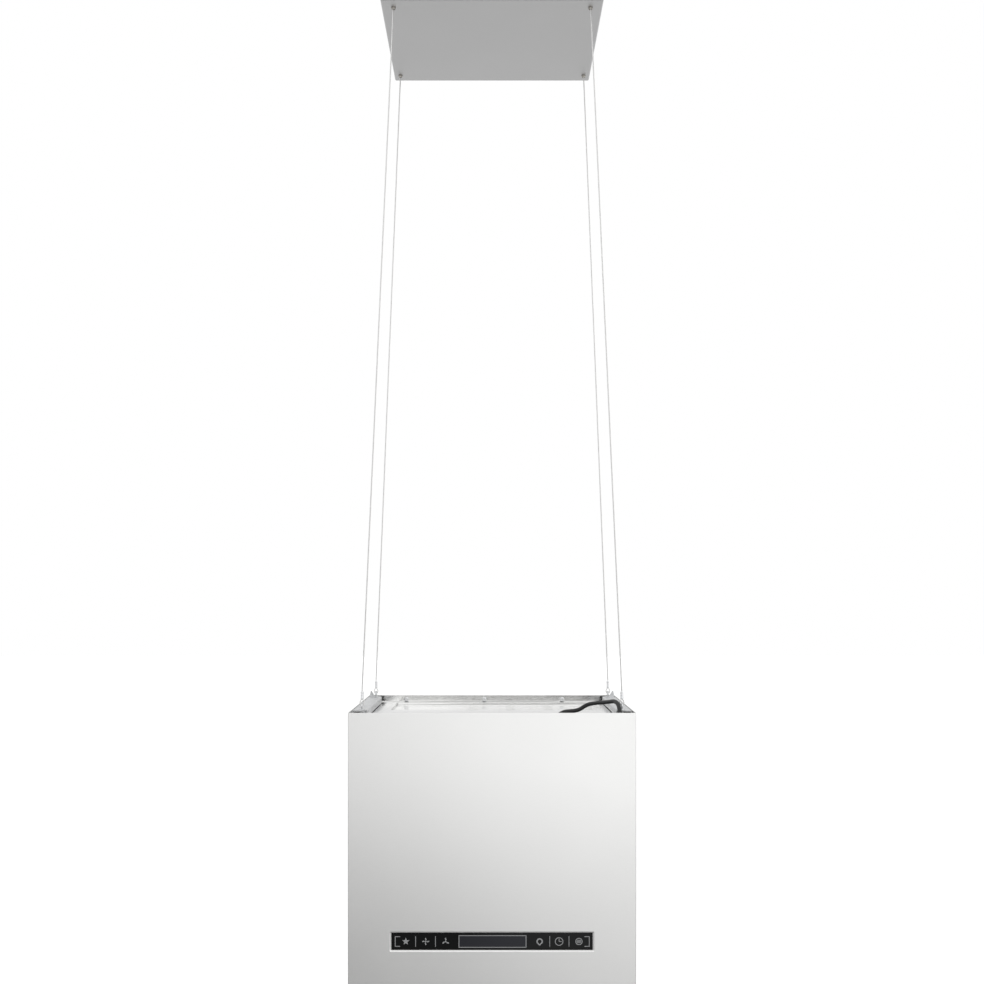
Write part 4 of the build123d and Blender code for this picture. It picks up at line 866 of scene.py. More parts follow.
class HOOD_OT_ceiling(bpy.types.Operator):
    """Makes the ceiling cover, and the cable grippers that look out of it."""

    bl_idname = "hood.ceiling"
    bl_label = "Ceiling fitting"

    def execute(self, context):
        low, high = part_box("ceiling_cover")
        cover = block("cover", low, high)
        remove(cover, lambda c, n: n.z > 0.9)
        bend(cover, lambda c, d: abs(d.z) > 0.9 or c.z < low.z + 0.1 * MM, 2.2 * MM)
        thicken(cover, 1.2 * MM)
        for x, y in GRIPPER_PLACES:
            drill(cover, 3.1 * MM, 8 * MM, (x, y, low.z))
        for at in COVER_SCREW_PLACES:
            drill(cover, 2.85 * MM, 5 * MM, at, ALONG_X)
        soften(cover, sizes().edge * 0.6)
        settle(cover, "ceiling", "cover_steel", "cover", "ceiling_cover")
        self.make_grippers()
        return {"FINISHED"}

    def make_grippers(self):
        """Thread, knurled barrel and smooth nozzle of each gripper."""
        body = turned(
            "gripper",
            [
                (3.95, -2.0), (3.95, -6.0), (5.4, -6.0), (5.95, -6.6), (5.95, -9.0), (5.3, -9.4),
                (5.3, -10.2), (5.95, -10.6), (5.95, -19.2), (5.2, -20.1), (2.8, -20.1), (2.8, -26.4),
                (2.4, -27.9), (1.5, -27.9), (1.4, -27.2), (1.4, -20.0),
            ],
            36,
        )
        knurl(body, -19.0 * MM, -10.8 * MM, 36, 0.12 * MM, 0.25 * MM)
        grippers = repeat(body, [spot(x, y, 0) for x, y in GRIPPER_PLACES], "grippers")
        settle(grippers, "ceiling", "gripper_brass", "nickel", "cable_grippers")


class HOOD_OT_cables(bpy.types.Operator):
    """Lays the four hanging cables, and their sleeves, end loops and eye bolts."""

    bl_idname = "hood.cables"
    bl_label = "Hanging cables"

    grip = -28 * MM
    travel = 0.4

    def execute(self, context):
        size = sizes()
        for node, top, foot in zip(CABLES, GRIPPER_PLACES, EYE_PLACES):
            low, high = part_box(node)
            start, end = Vector((*top, high.z - 0.1 * MM)), Vector((*foot, low.z + 0.1 * MM))
            way = end - start
            rope = laid_rope(node.replace("cable", "rope"), way.length, size.rope, size.rope_lay)
            place(rope, start, way.to_track_quat("Z", "Y").to_euler())
            settle(rope, "ceiling", "wire_rope", "wire", node, smooth=50)
            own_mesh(rope)
        self.make_sleeves()
        self.make_loops()
        self.make_eyes()
        return {"FINISHED"}

    def make_sleeves(self):
        """Sleeves with the two waists that crimping leaves."""
        low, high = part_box("cable_ferrules")
        top = (high.z - low.z) / MM
        r, waist = 2.1, 2.1 * 0.9
        crimps = [(0.24, r), (0.3, waist), (0.4, waist), (0.46, r), (0.54, r), (0.6, waist), (0.7, waist), (0.76, r)]
        sleeve = turned(
            "sleeve",
            [
                (1.5, 0), (1.9, 0.1), (r, 0.5), *((radius, top * share) for share, radius in crimps),
                (r, top - 0.5), (1.9, top - 0.1), (1.3, top),
            ],
            24, low.z,
        )
        settle(at_eyes(sleeve, "sleeves"), "hood", "ferrule_aluminium", "ferrule", "cable_ferrules")

    def make_loops(self):
        """The rope's end goes through the eye and back up into the sleeve."""
        low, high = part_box("cable_loops")
        half = [(-0.75 * MM, high.z), (-2.7 * MM, low.z + 4.1 * MM), (0, low.z + 0.8 * MM)]
        points = [(x, 0, z) for x, z in half + [(-x, z) for x, z in half[1::-1]]]
        loop, spline = round_bar("loop", "BEZIER", points, 0.78 * MM, 3, 10)
        for knot in spline.bezier_points:
            knot.handle_left_type = knot.handle_right_type = "AUTO"
        activate(loop)
        bpy.ops.object.convert(target="MESH")
        loops = outward(at_eyes(bpy.context.object, "end_loops"))
        settle(loops, "hood", "wire_rope", "wire", "cable_loops", smooth=60)

    def make_eyes(self):
        """Ring, collar and thread of the eye bolts."""
        ring = primitive(
            "torus", "eye", major_radius=3.6 * MM, minor_radius=1.28 * MM, major_segments=36, minor_segments=14,
            location=(0, 0, RIM + 4.9 * MM), rotation=ALONG_X,
        )
        shank = turned(
            "shank",
            [(2.0, -7), (2.4, -6.5), (2.4, 0), (3.4, 0), (3.6, 0.3), (3.5, 0.8), (1.7, 1.6), (1.2, 2.2)],
            24, RIM,
        )
        eyes = at_eyes(join([ring, shank], "eye"), "eye_bolts")
        settle(eyes, "hood", "screw_steel", "screw", "cable_eyes")


class HOOD_OT_screws(bpy.types.Operator):
    """Makes the screws at the rim, in the bottom and in the cover, and the nuts on the weld studs."""

    bl_idname = "hood.screws"
    bl_label = "Screws and stud nuts"

    def execute(self, context):
        low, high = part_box("rim_screws")
        radius, height = 3.5, 2.4
        screw = pan_head_screw(radius, height, (high.y - low.y) / MM - height, 2.0)
        middle, pitch = (low + high) / 2, (high.x - low.x) / 2 - radius * MM
        seat = low.y + height * MM
        # no two screws stop at the same angle
        places = [
            spot(middle.x + k * pitch, seat, middle.z, (radians(90), radians(20 + 25 * k), 0))
            for k in (-1, 0, 1)
        ]
        settle(repeat(screw, places, "rim_screw_heads"), "hood", "screw_steel", "screw", "rim_screws")
        self.make_nuts()
        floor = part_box("bottom_screws")[0].z
        places = [
            spot(x, y, floor, (radians(180), 0, radians(37 * k)))
            for k, (x, y) in enumerate(bottom_screw_places())
        ]
        self.make_sunk(places, "bottom_screw_heads", "hood", "bottom_screws")
        places = [
            spot(x, y, z, (0, radians(90 if x > 0 else -90), 0)) for x, y, z in COVER_SCREW_PLACES
        ]
        self.make_sunk(places, "cover_screw_heads", "ceiling", "cover_screws")
        return {"FINISHED"}

    def make_sunk(self, places, name, body, node):
        screw = sunk_screw(SUNK_HEAD, 1.5, 1.2, 6.0)
        settle(repeat(screw, places, name), body, "screw_steel", "screw", node)

    def make_nuts(self):
        """Each nut with the end of the stud or eye bolt in it."""
        nut = hexagon_nut("nut", 4.6 * MM, 4.0 * MM, 2.45 * MM)
        stud = turned("stud", [(2.4, -1.7), (2.4, 4.2), (1.9, 4.7)], 20)
        both = join([nut, stud], "nut")
        wall = SHELL_HIGH.x - sizes().sheet - 2 * MM
        # on the bracket's legs, behind the control panel and under the eyes
        places = [
            spot(side * wall, y * MM, RIM - 22 * MM, (0, radians(-90 * side), 0))
            for side in (-1, 1) for y in (-20, 48, 112)
        ]
        places += [
            spot(side * 137.2 * MM, GLASS_HIGH.y + 1.8 * MM, PANEL_Z, (radians(-90), 0, 0)) for side in (-1, 1)
        ]
        places += [spot(x, y, RIM - 6 * MM) for x, y in EYE_PLACES]
        settle(repeat(both, places, "nuts"), "hood", "screw_steel", "screw", "hexagon_nuts")


class HOOD_OT_top(bpy.types.Operator):
    """Folds the top panel, the brackets, the tray and the outlet grille."""

    bl_idname = "hood.top"
    bl_label = "Top sheets"

    # inside edges of the tray and of the grille, from their flanges
    tray_opening = (
        TRAY_LOW.x + 6 * MM, TRAY_HIGH.x - 5 * MM, TRAY_LOW.y + 5 * MM, TRAY_HIGH.y - 6 * MM
    )
    grille_opening = (
        GRILLE_LOW.x + 6 * MM, GRILLE_HIGH.x - 6 * MM, GRILLE_LOW.y + 6 * MM, GRILLE_HIGH.y - 6 * MM
    )
    corner = 3 * MM
    rows, columns = 9, 5

    def execute(self, context):
        edge = sizes().edge
        self.top_panel(edge)
        tray = pan("stowage_tray", self.tray_opening, TRAY_LOW, TRAY_HIGH, INNER_SHEET, self.corner)
        thicken(tray, INNER_SHEET, edge)
        settle(tray, "hood", "zinc_steel", "zinc", "wiring_tray", smooth=35)
        self.grille()
        for side, node in ((-1, "hanging_bracket_left"), (1, "hanging_bracket_right")):
            self.bracket(side, node)
        return {"FINISHED"}

    def top_panel(self, edge):
        low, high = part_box("top_panel")
        front, rear = low.y + INNER_SHEET, high.y - INNER_SHEET
        panel = block("top_sheet", (low.x, front, PANEL_TOP), (high.x, rear, PANEL_TOP), "plane")
        for opening in (self.tray_opening, self.grille_opening):
            open_sheet(panel, *opening, corner=self.corner)
        for y in (front, rear):
            fold(panel, lambda c, d: abs(c.y - y) < EPS and abs(d.x) > 0.9, (0, 0, high.z - PANEL_TOP))
        bend(panel, lambda c, d: min(abs(c.y - front), abs(rear - c.y)) < EPS
             and abs(c.z - PANEL_TOP) < EPS and abs(d.x) > 0.9, 1.2 * MM)
        thicken(panel, INNER_SHEET, edge)
        settle(panel, "hood", "brushed_shell", "rolled", "top_panel", smooth=35)

    def grille(self):
        """Recessed pan with rows of rounded slots."""
        x0, x1, y0, y1 = self.grille_opening
        grille = pan("outlet_pan", self.grille_opening, GRILLE_LOW, GRILLE_HIGH, INNER_SHEET, self.corner)
        thicken(grille, INNER_SHEET)
        floor = GRILLE_LOW.z
        slot = block("slot", (-22 * MM, -2.25 * MM, floor - 2 * MM), (22 * MM, 2.25 * MM, floor + 2 * MM))
        bend(slot, lambda c, d: abs(d.z) > 0.9, 2.2 * MM, 5)
        rows, columns = self.rows, self.columns
        pitch_x, pitch_y = (x1 - x0) / (columns + 0.25), (y1 - y0) / (rows + 0.5)
        first_x, first_y = -(columns - 1) / 2 * pitch_x, (y0 + y1) / 2 - (rows - 1) / 2 * pitch_y
        places = [
            spot(first_x + column * pitch_x, first_y + row * pitch_y, 0)
            for row in range(rows) for column in range(columns)
        ]
        cut(grille, repeat(slot, places, "slots"))
        # the punch rounds the slots' edges
        soften(grille, 0.4 * MM)
        settle(grille, "hood", "brushed_shell", "rolled", "outlet_grille", smooth=35)

    def bracket(self, side, node):
        """Web on the rim, leg on the side wall, lip inside, and the ear at the rear."""
        low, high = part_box(node)
        sheet, edge = 2 * MM, 0.35 * MM
        inside, outside = (low.x, high.x) if side > 0 else (high.x, low.x)
        web = block("bracket", (low.x, low.y, RIM), (high.x, high.y, RIM), "plane")
        round_corners(web, lambda p, n: abs(p.x - inside) < EPS, 8 * MM, 1)
        fold(web, lambda c, d: abs(c.x - outside) < EPS, (0, 0, low.z - RIM))
        fold(web, lambda c, d: abs(c.x - inside) < EPS and abs(d.y) > 0.9, (0, 0, -9 * MM))
        bend(web, lambda c, d: min(abs(c.x - outside), abs(c.x - inside)) < EPS and c.z > RIM - EPS
             and abs(d.y) > 0.9, 2.4 * MM)
        thicken(web, sheet, edge)
        tip = outside - side * sheet
        root = tip - side * 9 * MM
        ear = block(
            "ear", (min(root, tip), high.y - 12 * MM, RIM - 0.5 * MM), (max(root, tip), high.y - 10 * MM, high.z)
        )
        pick(ear, "FACE", lambda c, n: n.z > 0.9)
        resize((0.12, 1), (root + side * 6.75 * MM, 0, 0))
        soften(ear, edge)
        settle(join([web, ear], node + "_sheet"), "hood", "zinc_steel", "zinc", node, smooth=35)


class HOOD_OT_bottom(bpy.types.Operator):
    """Folds the bottom panel with its filter opening, lamp holes and hinge rod."""

    bl_idname = "hood.bottom"
    bl_label = "Bottom panel"

    filter_gap = 1.5 * MM

    def execute(self, context):
        low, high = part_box("bottom_panel")
        half_x = FILTER_HIGH.x + self.filter_gap
        half_y = self.filter_gap - FILTER_LOW.y
        panel = block("bottom_sheet", low, (high.x, high.y, low.z), "plane")
        open_sheet(panel, -half_x, half_x, -half_y, half_y)
        for x in (-HOOK_X, HOOK_X):
            open_sheet(panel, x - 12.6 * MM, x + 12.6 * MM, half_y, half_y + 7 * MM)
        for side in (-1, 1):
            fold(panel, lambda c, d: abs(c.x - side * high.x) < EPS and c.z < low.z + EPS, (0, 0, high.z - low.z))
            fold(panel, lambda c, d: abs(c.x - side * half_x) < EPS and abs(c.y) < half_y and c.z < low.z + EPS
                 and abs(d.y) > 0.9, (0, 0, 7 * MM))
        pick(panel, "FACE", every)
        bpy.ops.mesh.flip_normals()
        thicken(panel, INNER_SHEET)
        for x in (-LAMP_X, LAMP_X):
            drill(panel, 21.55 * MM, 6 * MM, (x, 0, low.z), vertices=48)
        rod = primitive(
            "cylinder", "rod", vertices=24, radius=1.5 * MM, depth=188 * MM, rotation=ALONG_X,
            location=(0, half_y + 3.5 * MM, low.z + INNER_SHEET + 1.4 * MM),
        )
        soften(rod, 0.4 * MM)
        made = soften(join([panel, rod], "bottom_sheet"), 0.15 * MM, 1)
        settle(made, "hood", "brushed_shell", "rolled", "bottom_panel", smooth=35)
        return {"FINISHED"}


# The lead's route in millimetres, from its gland over the panel's ledge and down into the tray
LEAD_ROUTE = [
    (167.0, -122.0, -976.0), (167.0, -122.0, -950.7), (165.2, -103.0, -933.7),
    (152.2, -79.4, -938.0), (137.8, -57.5, -940.8), (127.6, -47.8, -944.4),
    (116.2, -46.0, -952.9), (90.0, -49.0, -952.9), (57.8, -49.4, -999.65),
]
# The put-away coil, in millimetres: radius of the innermost turn, and from turn to turn and layer to layer
COIL_CENTRE = Vector((14.5, -91.5, -999.65))
COIL_INNER = 20.8
COIL_PITCH = 7.1
COIL_LAYER = 7.0
COIL_TURNS = 3
COIL_POINTS = 16


def coil_points():
    """Control points of the put-away coil: in on the lower layer, up at the middle, out above."""
    # a spline of order 3 runs inside its points, so they stand out by this much
    stand_out = 1 / cos(pi / COIL_POINTS)
    points = []
    for k in range(2 * COIL_TURNS * COIL_POINTS + 1):
        turn = k / COIL_POINTS
        past = turn - COIL_TURNS
        if past <= 0:
            radius, lift = COIL_INNER - past * COIL_PITCH, 0.0
        elif past <= 0.5:
            share = past / 0.5
            radius, lift = COIL_INNER, COIL_LAYER * share * share * (3 - 2 * share)
        else:
            radius, lift = COIL_INNER + (past - 0.5) * COIL_PITCH, COIL_LAYER
        angle = pi / 2 + turn * 2 * pi
        radius *= stand_out
        points.append(COIL_CENTRE + Vector((radius * cos(angle), radius * sin(angle), lift)))
    return points


class HOOD_OT_lead(bpy.types.Operator):
    """Lays the mains lead and its coil, with the gland, tie and plug."""

    bl_idname = "hood.lead"
    bl_label = "Mains lead"

    def execute(self, context):
        size = sizes()
        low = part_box("mains_plug")[0]
        centre = Vector((low.x + 18.5 * MM, low.y + 18.5 * MM, low.z))
        way = Vector((-1, -1, 0)).normalized()
        end = centre - way * 36.8 * MM
        end.z = (COIL_CENTRE.z + COIL_LAYER) * MM
        line = [Vector(p) * MM for p in LEAD_ROUTE + coil_points()]
        line += [end - way * 11 * MM, end - way * 3 * MM, end + way * 4 * MM]
        lead, spline = round_bar("lead", "NURBS", [(*at, 1) for at in line], size.lead / 2, 6, 8)
        spline.order_u = 3
        spline.use_endpoint_u = True
        lead.data.materials.append(FINISH["rubber"])
        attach(lead, "hood")
        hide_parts("mains_lead", "mains_lead_coil")
        self.make_gland()
        tie = self.make_tie()
        plug, pins = self.make_plug(centre, way, end)
        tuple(line[0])
        return {"FINISHED"}

    def make_gland(self):
        """Hexagon, ribbed tapered relief and lock nut."""
        low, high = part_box("cord_gland")
        floor = low.z + 9 * MM
        top = (high.z - floor) / MM
        profile = [
            (5.2, -9), (5.9, -8.4), (5.9, 0), (8.6, 0), (8.8, 0.4), (8.8, 2.4), (8.3, 3), (7.2, 3), (7.2, 8),
            (6.2, 8.2), *ribs(7, 8.6, top - 9, (6.0, 3.7), 0.55, (0.8, 0.8)), (3.3, top - 0.3), (3.0, top),
        ]
        gland = turned("gland", profile, 32, floor)
        cap = hexagon_nut("cap", 8.5 * MM, 5 * MM, 6.9 * MM, floor + 3 * MM)
        nut = hexagon_nut("nut", 8.5 * MM, 4 * MM, 5.9 * MM, floor - 5 * MM)
        gland = join([gland, cap, nut], "cord_gland_made")
        x, y, z = LEAD_ROUTE[0]
        place(gland, (x * MM, y * MM, 0))
        settle(gland, "hood", "black_plastic", "plastic", "cord_gland")

    def make_tie(self):
        """Strap round the coil's right side, with its lock."""
        low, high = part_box("lead_tie")
        lock = 3 * MM
        middle = (low.y + high.y) / 2
        strap = block("coil_tie", (low.x, middle - 2 * MM, low.z), (high.x, middle + 2 * MM, high.z - lock))
        bend(strap, lambda c, d: abs(d.y) > 0.9, 2.2 * MM, 5)
        remove(strap, lambda c, n: abs(n.y) > 0.9)
        thicken(strap, 1.0 * MM)
        head = block(
            "lock", (low.x + 5 * MM, low.y, high.z - lock - 0.6 * MM), (low.x + 10 * MM, high.y, high.z)
        )
        tail = block(
            "tail", (low.x + 10 * MM, middle - 1.8 * MM, high.z - 1.9 * MM),
            (low.x + 21 * MM, middle + 1.8 * MM, high.z - 1.0 * MM),
        )
        tie = soften(join([strap, head, tail], "coil_tie"), 0.3 * MM)
        return settle(tie, "hood", "black_plastic", "plastic", "lead_tie")

    def make_plug(self, centre, way, end):
        """Round moulded plug on its back, with finger grips, ribbed boot and two pins."""
        low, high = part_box("mains_plug")
        body = turned(
            "plug",
            [
                (14.5, 0), (17.2, 0.8), (18.4, 3), (18.4, 15), (17.6, 16), (17.6, 22), (17.0, 23.2),
                (16.0, 24), (8.0, 24), (7.4, 23.2),
            ],
            48, low.z,
        )
        knurl(body, low.z + 3 * MM, low.z + 15 * MM, 48, 0.35 * MM, 0.5 * MM)
        place(body, (centre.x, centre.y, 0))
        boot = turned("boot", list(ribs(6, 0, 28, (3.6, 6.2), 0.6, (0.7, 0.6))), 28)
        place(boot, end, way.to_track_quat("Z", "Y").to_euler())
        plug = settle(join([body, boot], "plug"), "hood", "black_rubber", "rubber", "mains_plug")
        top = (high.z - low.z) / MM
        pin = turned("pin", [(2.4, 23), (2.4, top - 1.6), (2.1, top - 0.7), (1.3, top)], 20, low.z)
        side = Vector((way.y, -way.x))
        places = [spot(*(centre.xy + side * k * 9.5 * MM), 0) for k in (-1, 1)]
        pins = settle(repeat(pin, places, "plug_pins"), "hood", "screw_steel", "nickel")
        return plug, pins


def raised(piece):
    """Gives a flat mark the thickness of the print."""
    pick(piece, "FACE", every)
    bpy.ops.mesh.extrude_region_move(TRANSFORM_OT_translate={"value": (0, 0, sizes().print_relief)})
    return outward(piece, 0.0001 * MM)


def bar(x0, x1, z0, z1):
    """A printed bar; like all marks it is given in millimetres and drawn flat on the ground."""
    return raised(block("bar", (x0 * MM, z0 * MM, 0), (x1 * MM, z1 * MM, 0), "plane"))


def plate(name, corners, radius, x=0.0):
    """A flat disc with this many corners, its radius and place in millimetres."""
    return primitive(
        "circle", name, vertices=corners, radius=radius * MM, fill_type="NGON", location=(x * MM, 0, 0)
    )


def ring(x, outer, inner, drop=0.0):
    """A circle line; drop pulls its lowest point down, as on a lamp symbol."""
    piece = plate("ring", 40, outer, x)
    hollow(piece, every, (outer - inner) * MM)
    if drop:
        pick(piece, "VERT", lambda p, n: p.y < -inner * 0.9 * MM)
        bpy.ops.transform.translate(value=(0, -drop * MM, 0))
        resize((0.6, 1), (x * MM, 0, 0))
    return raised(piece)


def star(x):
    """Five points: every second corner of a ten-sided plate is drawn in."""
    piece = plate("star", 10, 4.9)
    pick(piece, "VERT", lambda p, n: round(degrees(atan2(p.x, p.y)) / 36) % 2)
    resize((0.42, 0.42), (0, 0, 0))
    return raised(place(piece, (x * MM, 0, 0)))


def fan(x, blades, reach):
    """Swept blades round a small hub."""
    yield raised(plate("disc", 32, 1.0, x))
    tip = reach * 0.3 * MM
    for k in range(blades):
        blade = plate("blade", 14, reach)
        pick(blade, "FACE", every)
        resize((1, 0.46), (0, 0, 0))
        pick(blade, "VERT", lambda p, n: p.x > tip)
        bpy.ops.transform.translate(value=(0, 0.5 * MM, 0))
        pick(blade, "VERT", lambda p, n: p.x < -tip)
        resize((1, 0.6), (0, 0, 0))
        place(blade, (2.75 * MM, 0, 0))
        yield raised(place(blade, (x * MM, 0, 0), (0, 0, radians(84 + k * 360 / blades))))


class HOOD_OT_panel(bpy.types.Operator):
    """Breaks the glass's edges and prints the symbols and the display frame on it."""

    bl_idname = "hood.panel"
    bl_label = "Control panel"

    # the print sits this much below the glass's middle
    drop = 1.0 * MM
    # left, right, bottom and top of the display frame in millimetres
    display_edges = (-42.9, 44.2, -8.0, 8.0)
    bracket_edges = ((-124.8, -118.0), (125.4, 118.6))
    bracket_half = 6.7
    separators = (-98.1, -72.6, 74.2, 98.9)
    separator_half = 6.9

    def execute(self, context):
        size = sizes()
        glass = refined("control_glass", "panel_glass", 0.45 * MM, 3)
        settle(glass, "hood", "black_glass", "glass", "control_glass")
        line = size.stroke / MM
        x0, x1, z0, z1 = self.display_edges
        film = bar(x0 + line, x1 - line, z0 + line, z1 - line)
        film.name = "display_window"
        # what is drawn flat on the ground is raised on edge against the glass
        place(film, (0, GLASS_LOW.y + size.print_relief * 0.5, PANEL_Z - self.drop), UPRIGHT)
        settle(film, "hood", "display_plastic", "display")
        symbols = join([*self.marks(line), *self.display_frame(line)], "symbols")
        place(symbols, (0, GLASS_LOW.y, PANEL_Z - self.drop), UPRIGHT)
        settle(symbols, "hood", "black_glass", "ink")
        return {"FINISHED"}

    def marks(self, line):
        """Corner brackets and separators, then the symbols from left to right."""
        half = self.bracket_half
        for outer, inner in self.bracket_edges:
            edge = outer + (line if inner > outer else -line)
            yield bar(*sorted((outer, edge)), -half, half)
            for z in (-half, half - line):
                yield bar(*sorted((edge, inner)), z, z + line)
        for x in self.separators:
            yield bar(x - line * 0.4, x + line * 0.4, -self.separator_half, self.separator_half)
        yield star(-110.7)
        yield from fan(-85.2, 4, 1.9)
        yield from fan(-59.6, 3, 2.1)
        # lamp
        yield ring(61.2, 4.15, 2.5, 0.9)
        # clock with its two hands
        x = 86.2
        yield ring(x, 5.4, 5.4 - line)
        yield bar(x - line * 0.4, x + line * 0.4, -0.4, 4.0)
        yield bar(x + line * 0.4, x + 3.4, -0.4, 0.4)
        # dimmer: three bars in a ring
        x = 111.7
        yield ring(x, 4.6, 3.7)
        for z in (-1.6, 0, 1.6):
            reach = sqrt(3.1 ** 2 - z ** 2)
            yield bar(x - reach, x + reach, z - 0.45, z + 0.45)

    def display_frame(self, line):
        x0, x1, z0, z1 = self.display_edges
        yield bar(x0, x1, z1 - line, z1)
        yield bar(x0, x1, z0, z0 + line)
        yield bar(x0, x0 + line, z0 + line, z1 - line)
        yield bar(x1 - line, x1, z0 + line, z1 - line)


class HOOD_OT_filter(bpy.types.Operator):
    """Makes the grease filter's frame, wire mesh and latch."""

    bl_idname = "hood.filter"
    bl_label = "Grease filter"

    rail = 12 * MM
    corner = 1.6 * MM
    travel = 5.03 * MM
    # half the width of the latch's slot and of the window for a finger
    slot_half = 8.3 * MM
    window_half = 14 * MM

    def execute(self, context):
        self.channel()
        self.mesh()
        latch = refined("filter_latch", "latch_slider", 0.25 * MM)
        settle(latch, "filter_latch", "black_plastic", "plastic", "filter_latch")
        springs = refined("latch_springs", "latch_spring_coils", 0.01 * MM, 1, 80)
        settle(springs, "grease_filter", "screw_steel", "screw", "latch_springs", smooth=70)
        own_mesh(springs)
        return {"FINISHED"}

    def mesh(self):
        """Woven wire laid slantwise, cut to the frame and left out round the latch."""
        low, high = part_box("grease_filter_mesh")
        cells = sizes().mesh_cells
        reach = (high.x - low.x) / 2
        middle = (low.y + high.y) / 2
        mesh = primitive(
            "grid", "filter_mesh", x_subdivisions=cells, y_subdivisions=cells, size=2 * reach * sqrt(2)
        )
        place(mesh, (0, middle, (low.z + high.z) / 2), (0, 0, radians(45)))
        for side in (-1, 1):
            for axis, start in ((0, 0), (1, middle)):
                split(mesh, axis, start + side * reach, way=side, clear_outer=True)
        low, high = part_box("latch_housing")
        gap = 3 * MM
        remove(mesh, lambda c, n: low.x - gap < c.x < high.x + gap and c.y < high.y + gap)
        modify(mesh, "WIREFRAME", thickness=0.75 * MM, use_even_offset=False, use_boundary=True, use_replace=True)
        outward(mesh, 0.01 * MM)
        settle(mesh, "grease_filter", "filter_aluminium", "aluminium", "grease_filter_mesh", smooth=0)

    def channel(self):
        """Frame of folded sheet with the latch's slot, its finger window and two hooks."""
        half_y, floor, sheet = -FILTER_LOW.y, FILTER_LOW.z, INNER_SHEET
        channel = block("filter_frame", FILTER_LOW, (FILTER_HIGH.x, half_y, FILTER_HIGH.z))
        bend(channel, every, self.corner)
        for side in (-1, 1):
            hollow(channel, lambda c, n: n.z * side > 0.9 and c.xy.length < EPS, self.rail - self.corner)
        thicken(channel, sheet)
        wide = self.slot_half
        cut(channel, block(
            "slot", (-wide, -half_y - sheet, floor + sheet), (wide, -half_y + 2 * sheet, floor + 5.6 * MM)
        ))
        wide, front = self.window_half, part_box("latch_housing")[0].y
        cut(channel, block(
            "window", (-wide, front + 3.5 * MM, floor - sheet), (wide, -half_y + 11.9 * MM, floor + 1.5 * sheet)
        ))
        soften(channel, 0.25 * MM)
        inner, outer = 1.55 * MM, 2.95 * MM
        hinge_y, hinge_z = FILTER_HIGH.y - outer, floor + 2.4 * MM
        top, wide = hinge_z + outer, 12 * MM
        hooks = []
        for x in (-HOOK_X, HOOK_X):
            hook = block("hook", (x - wide, half_y - sheet, top), (x + wide, hinge_y, top), "plane")
            pick(hook, "EDGE", lambda c, d: abs(c.y - hinge_y) < EPS)
            bpy.ops.mesh.spin(steps=8, angle=radians(-90), center=(0, hinge_y, hinge_z), axis=(1, 0, 0))
            hooks.append(outward(thicken(flat_part_up(hook), outer - inner, 0.3 * MM)))
        made = join([channel, *hooks], "filter_frame")
        settle(made, "grease_filter", "filter_aluminium", "aluminium", "grease_filter_frame")


def flat_part_up(piece):
    """Turns an open strip's faces so that its flat part looks up."""
    edit_all(piece, "FACE")
    bpy.ops.mesh.normals_make_consistent(inside=False)
    flat = max(bmesh.from_edit_mesh(piece.data).faces, key=lambda f: f.calc_area())
    if flat.normal.z < 0:
        bpy.ops.mesh.flip_normals()
    return piece


class HOOD_OT_lamps(bpy.types.Operator):
    """Turns the two lamp rings and their sanded lenses."""

    bl_idname = "hood.lamps"
    bl_label = "Lamps"

    # inner radius of the lamp ring in millimetres
    bore = 17.1

    def execute(self, context):
        places = [spot(x, 0, 0) for x in (-LAMP_X, LAMP_X)]
        low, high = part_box("lamp_bezels")
        bezel = turned(
            "ring",
            [
                (self.bore, 5.9), (21.4, 5.9), (21.4, 1.0), (24.9, 1.0), (25.0, 0.7), (24.4, 0.25),
                (23.2, 0.02), (18.4, 0.02), (17.3, 0.3), (self.bore, 0.6),
            ],
            56, low.z,
        )
        remove(bezel, lambda c, n: abs(n.z) > 0.9 and c.xy.length < 2 * MM)
        pick(bezel, "EDGE", lambda c, d: abs(hypot(c.x, c.y) - self.bore * MM) < 0.1 * MM and abs(d.z) < 0.5)
        bpy.ops.mesh.bridge_edge_loops()
        rings = repeat(outward(bezel), places, "lamp_rings")
        settle(rings, "hood", "screw_steel", "screw", "lamp_bezels")
        low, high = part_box("lamp_lenses")
        top = (high.z - low.z) / MM
        lens = turned(
            "lens",
            [(14.0, top), (16.9, top), (16.9, 0.5), (16.2, 0.1), (12.0, 0), (6.0, 0), (1.0, 0)],
            48, low.z,
        )
        settle(repeat(lens, places, "lamp_glasses"), "hood", "lamp_glass", "lens", "lamp_lenses")
        return {"FINISHED"}


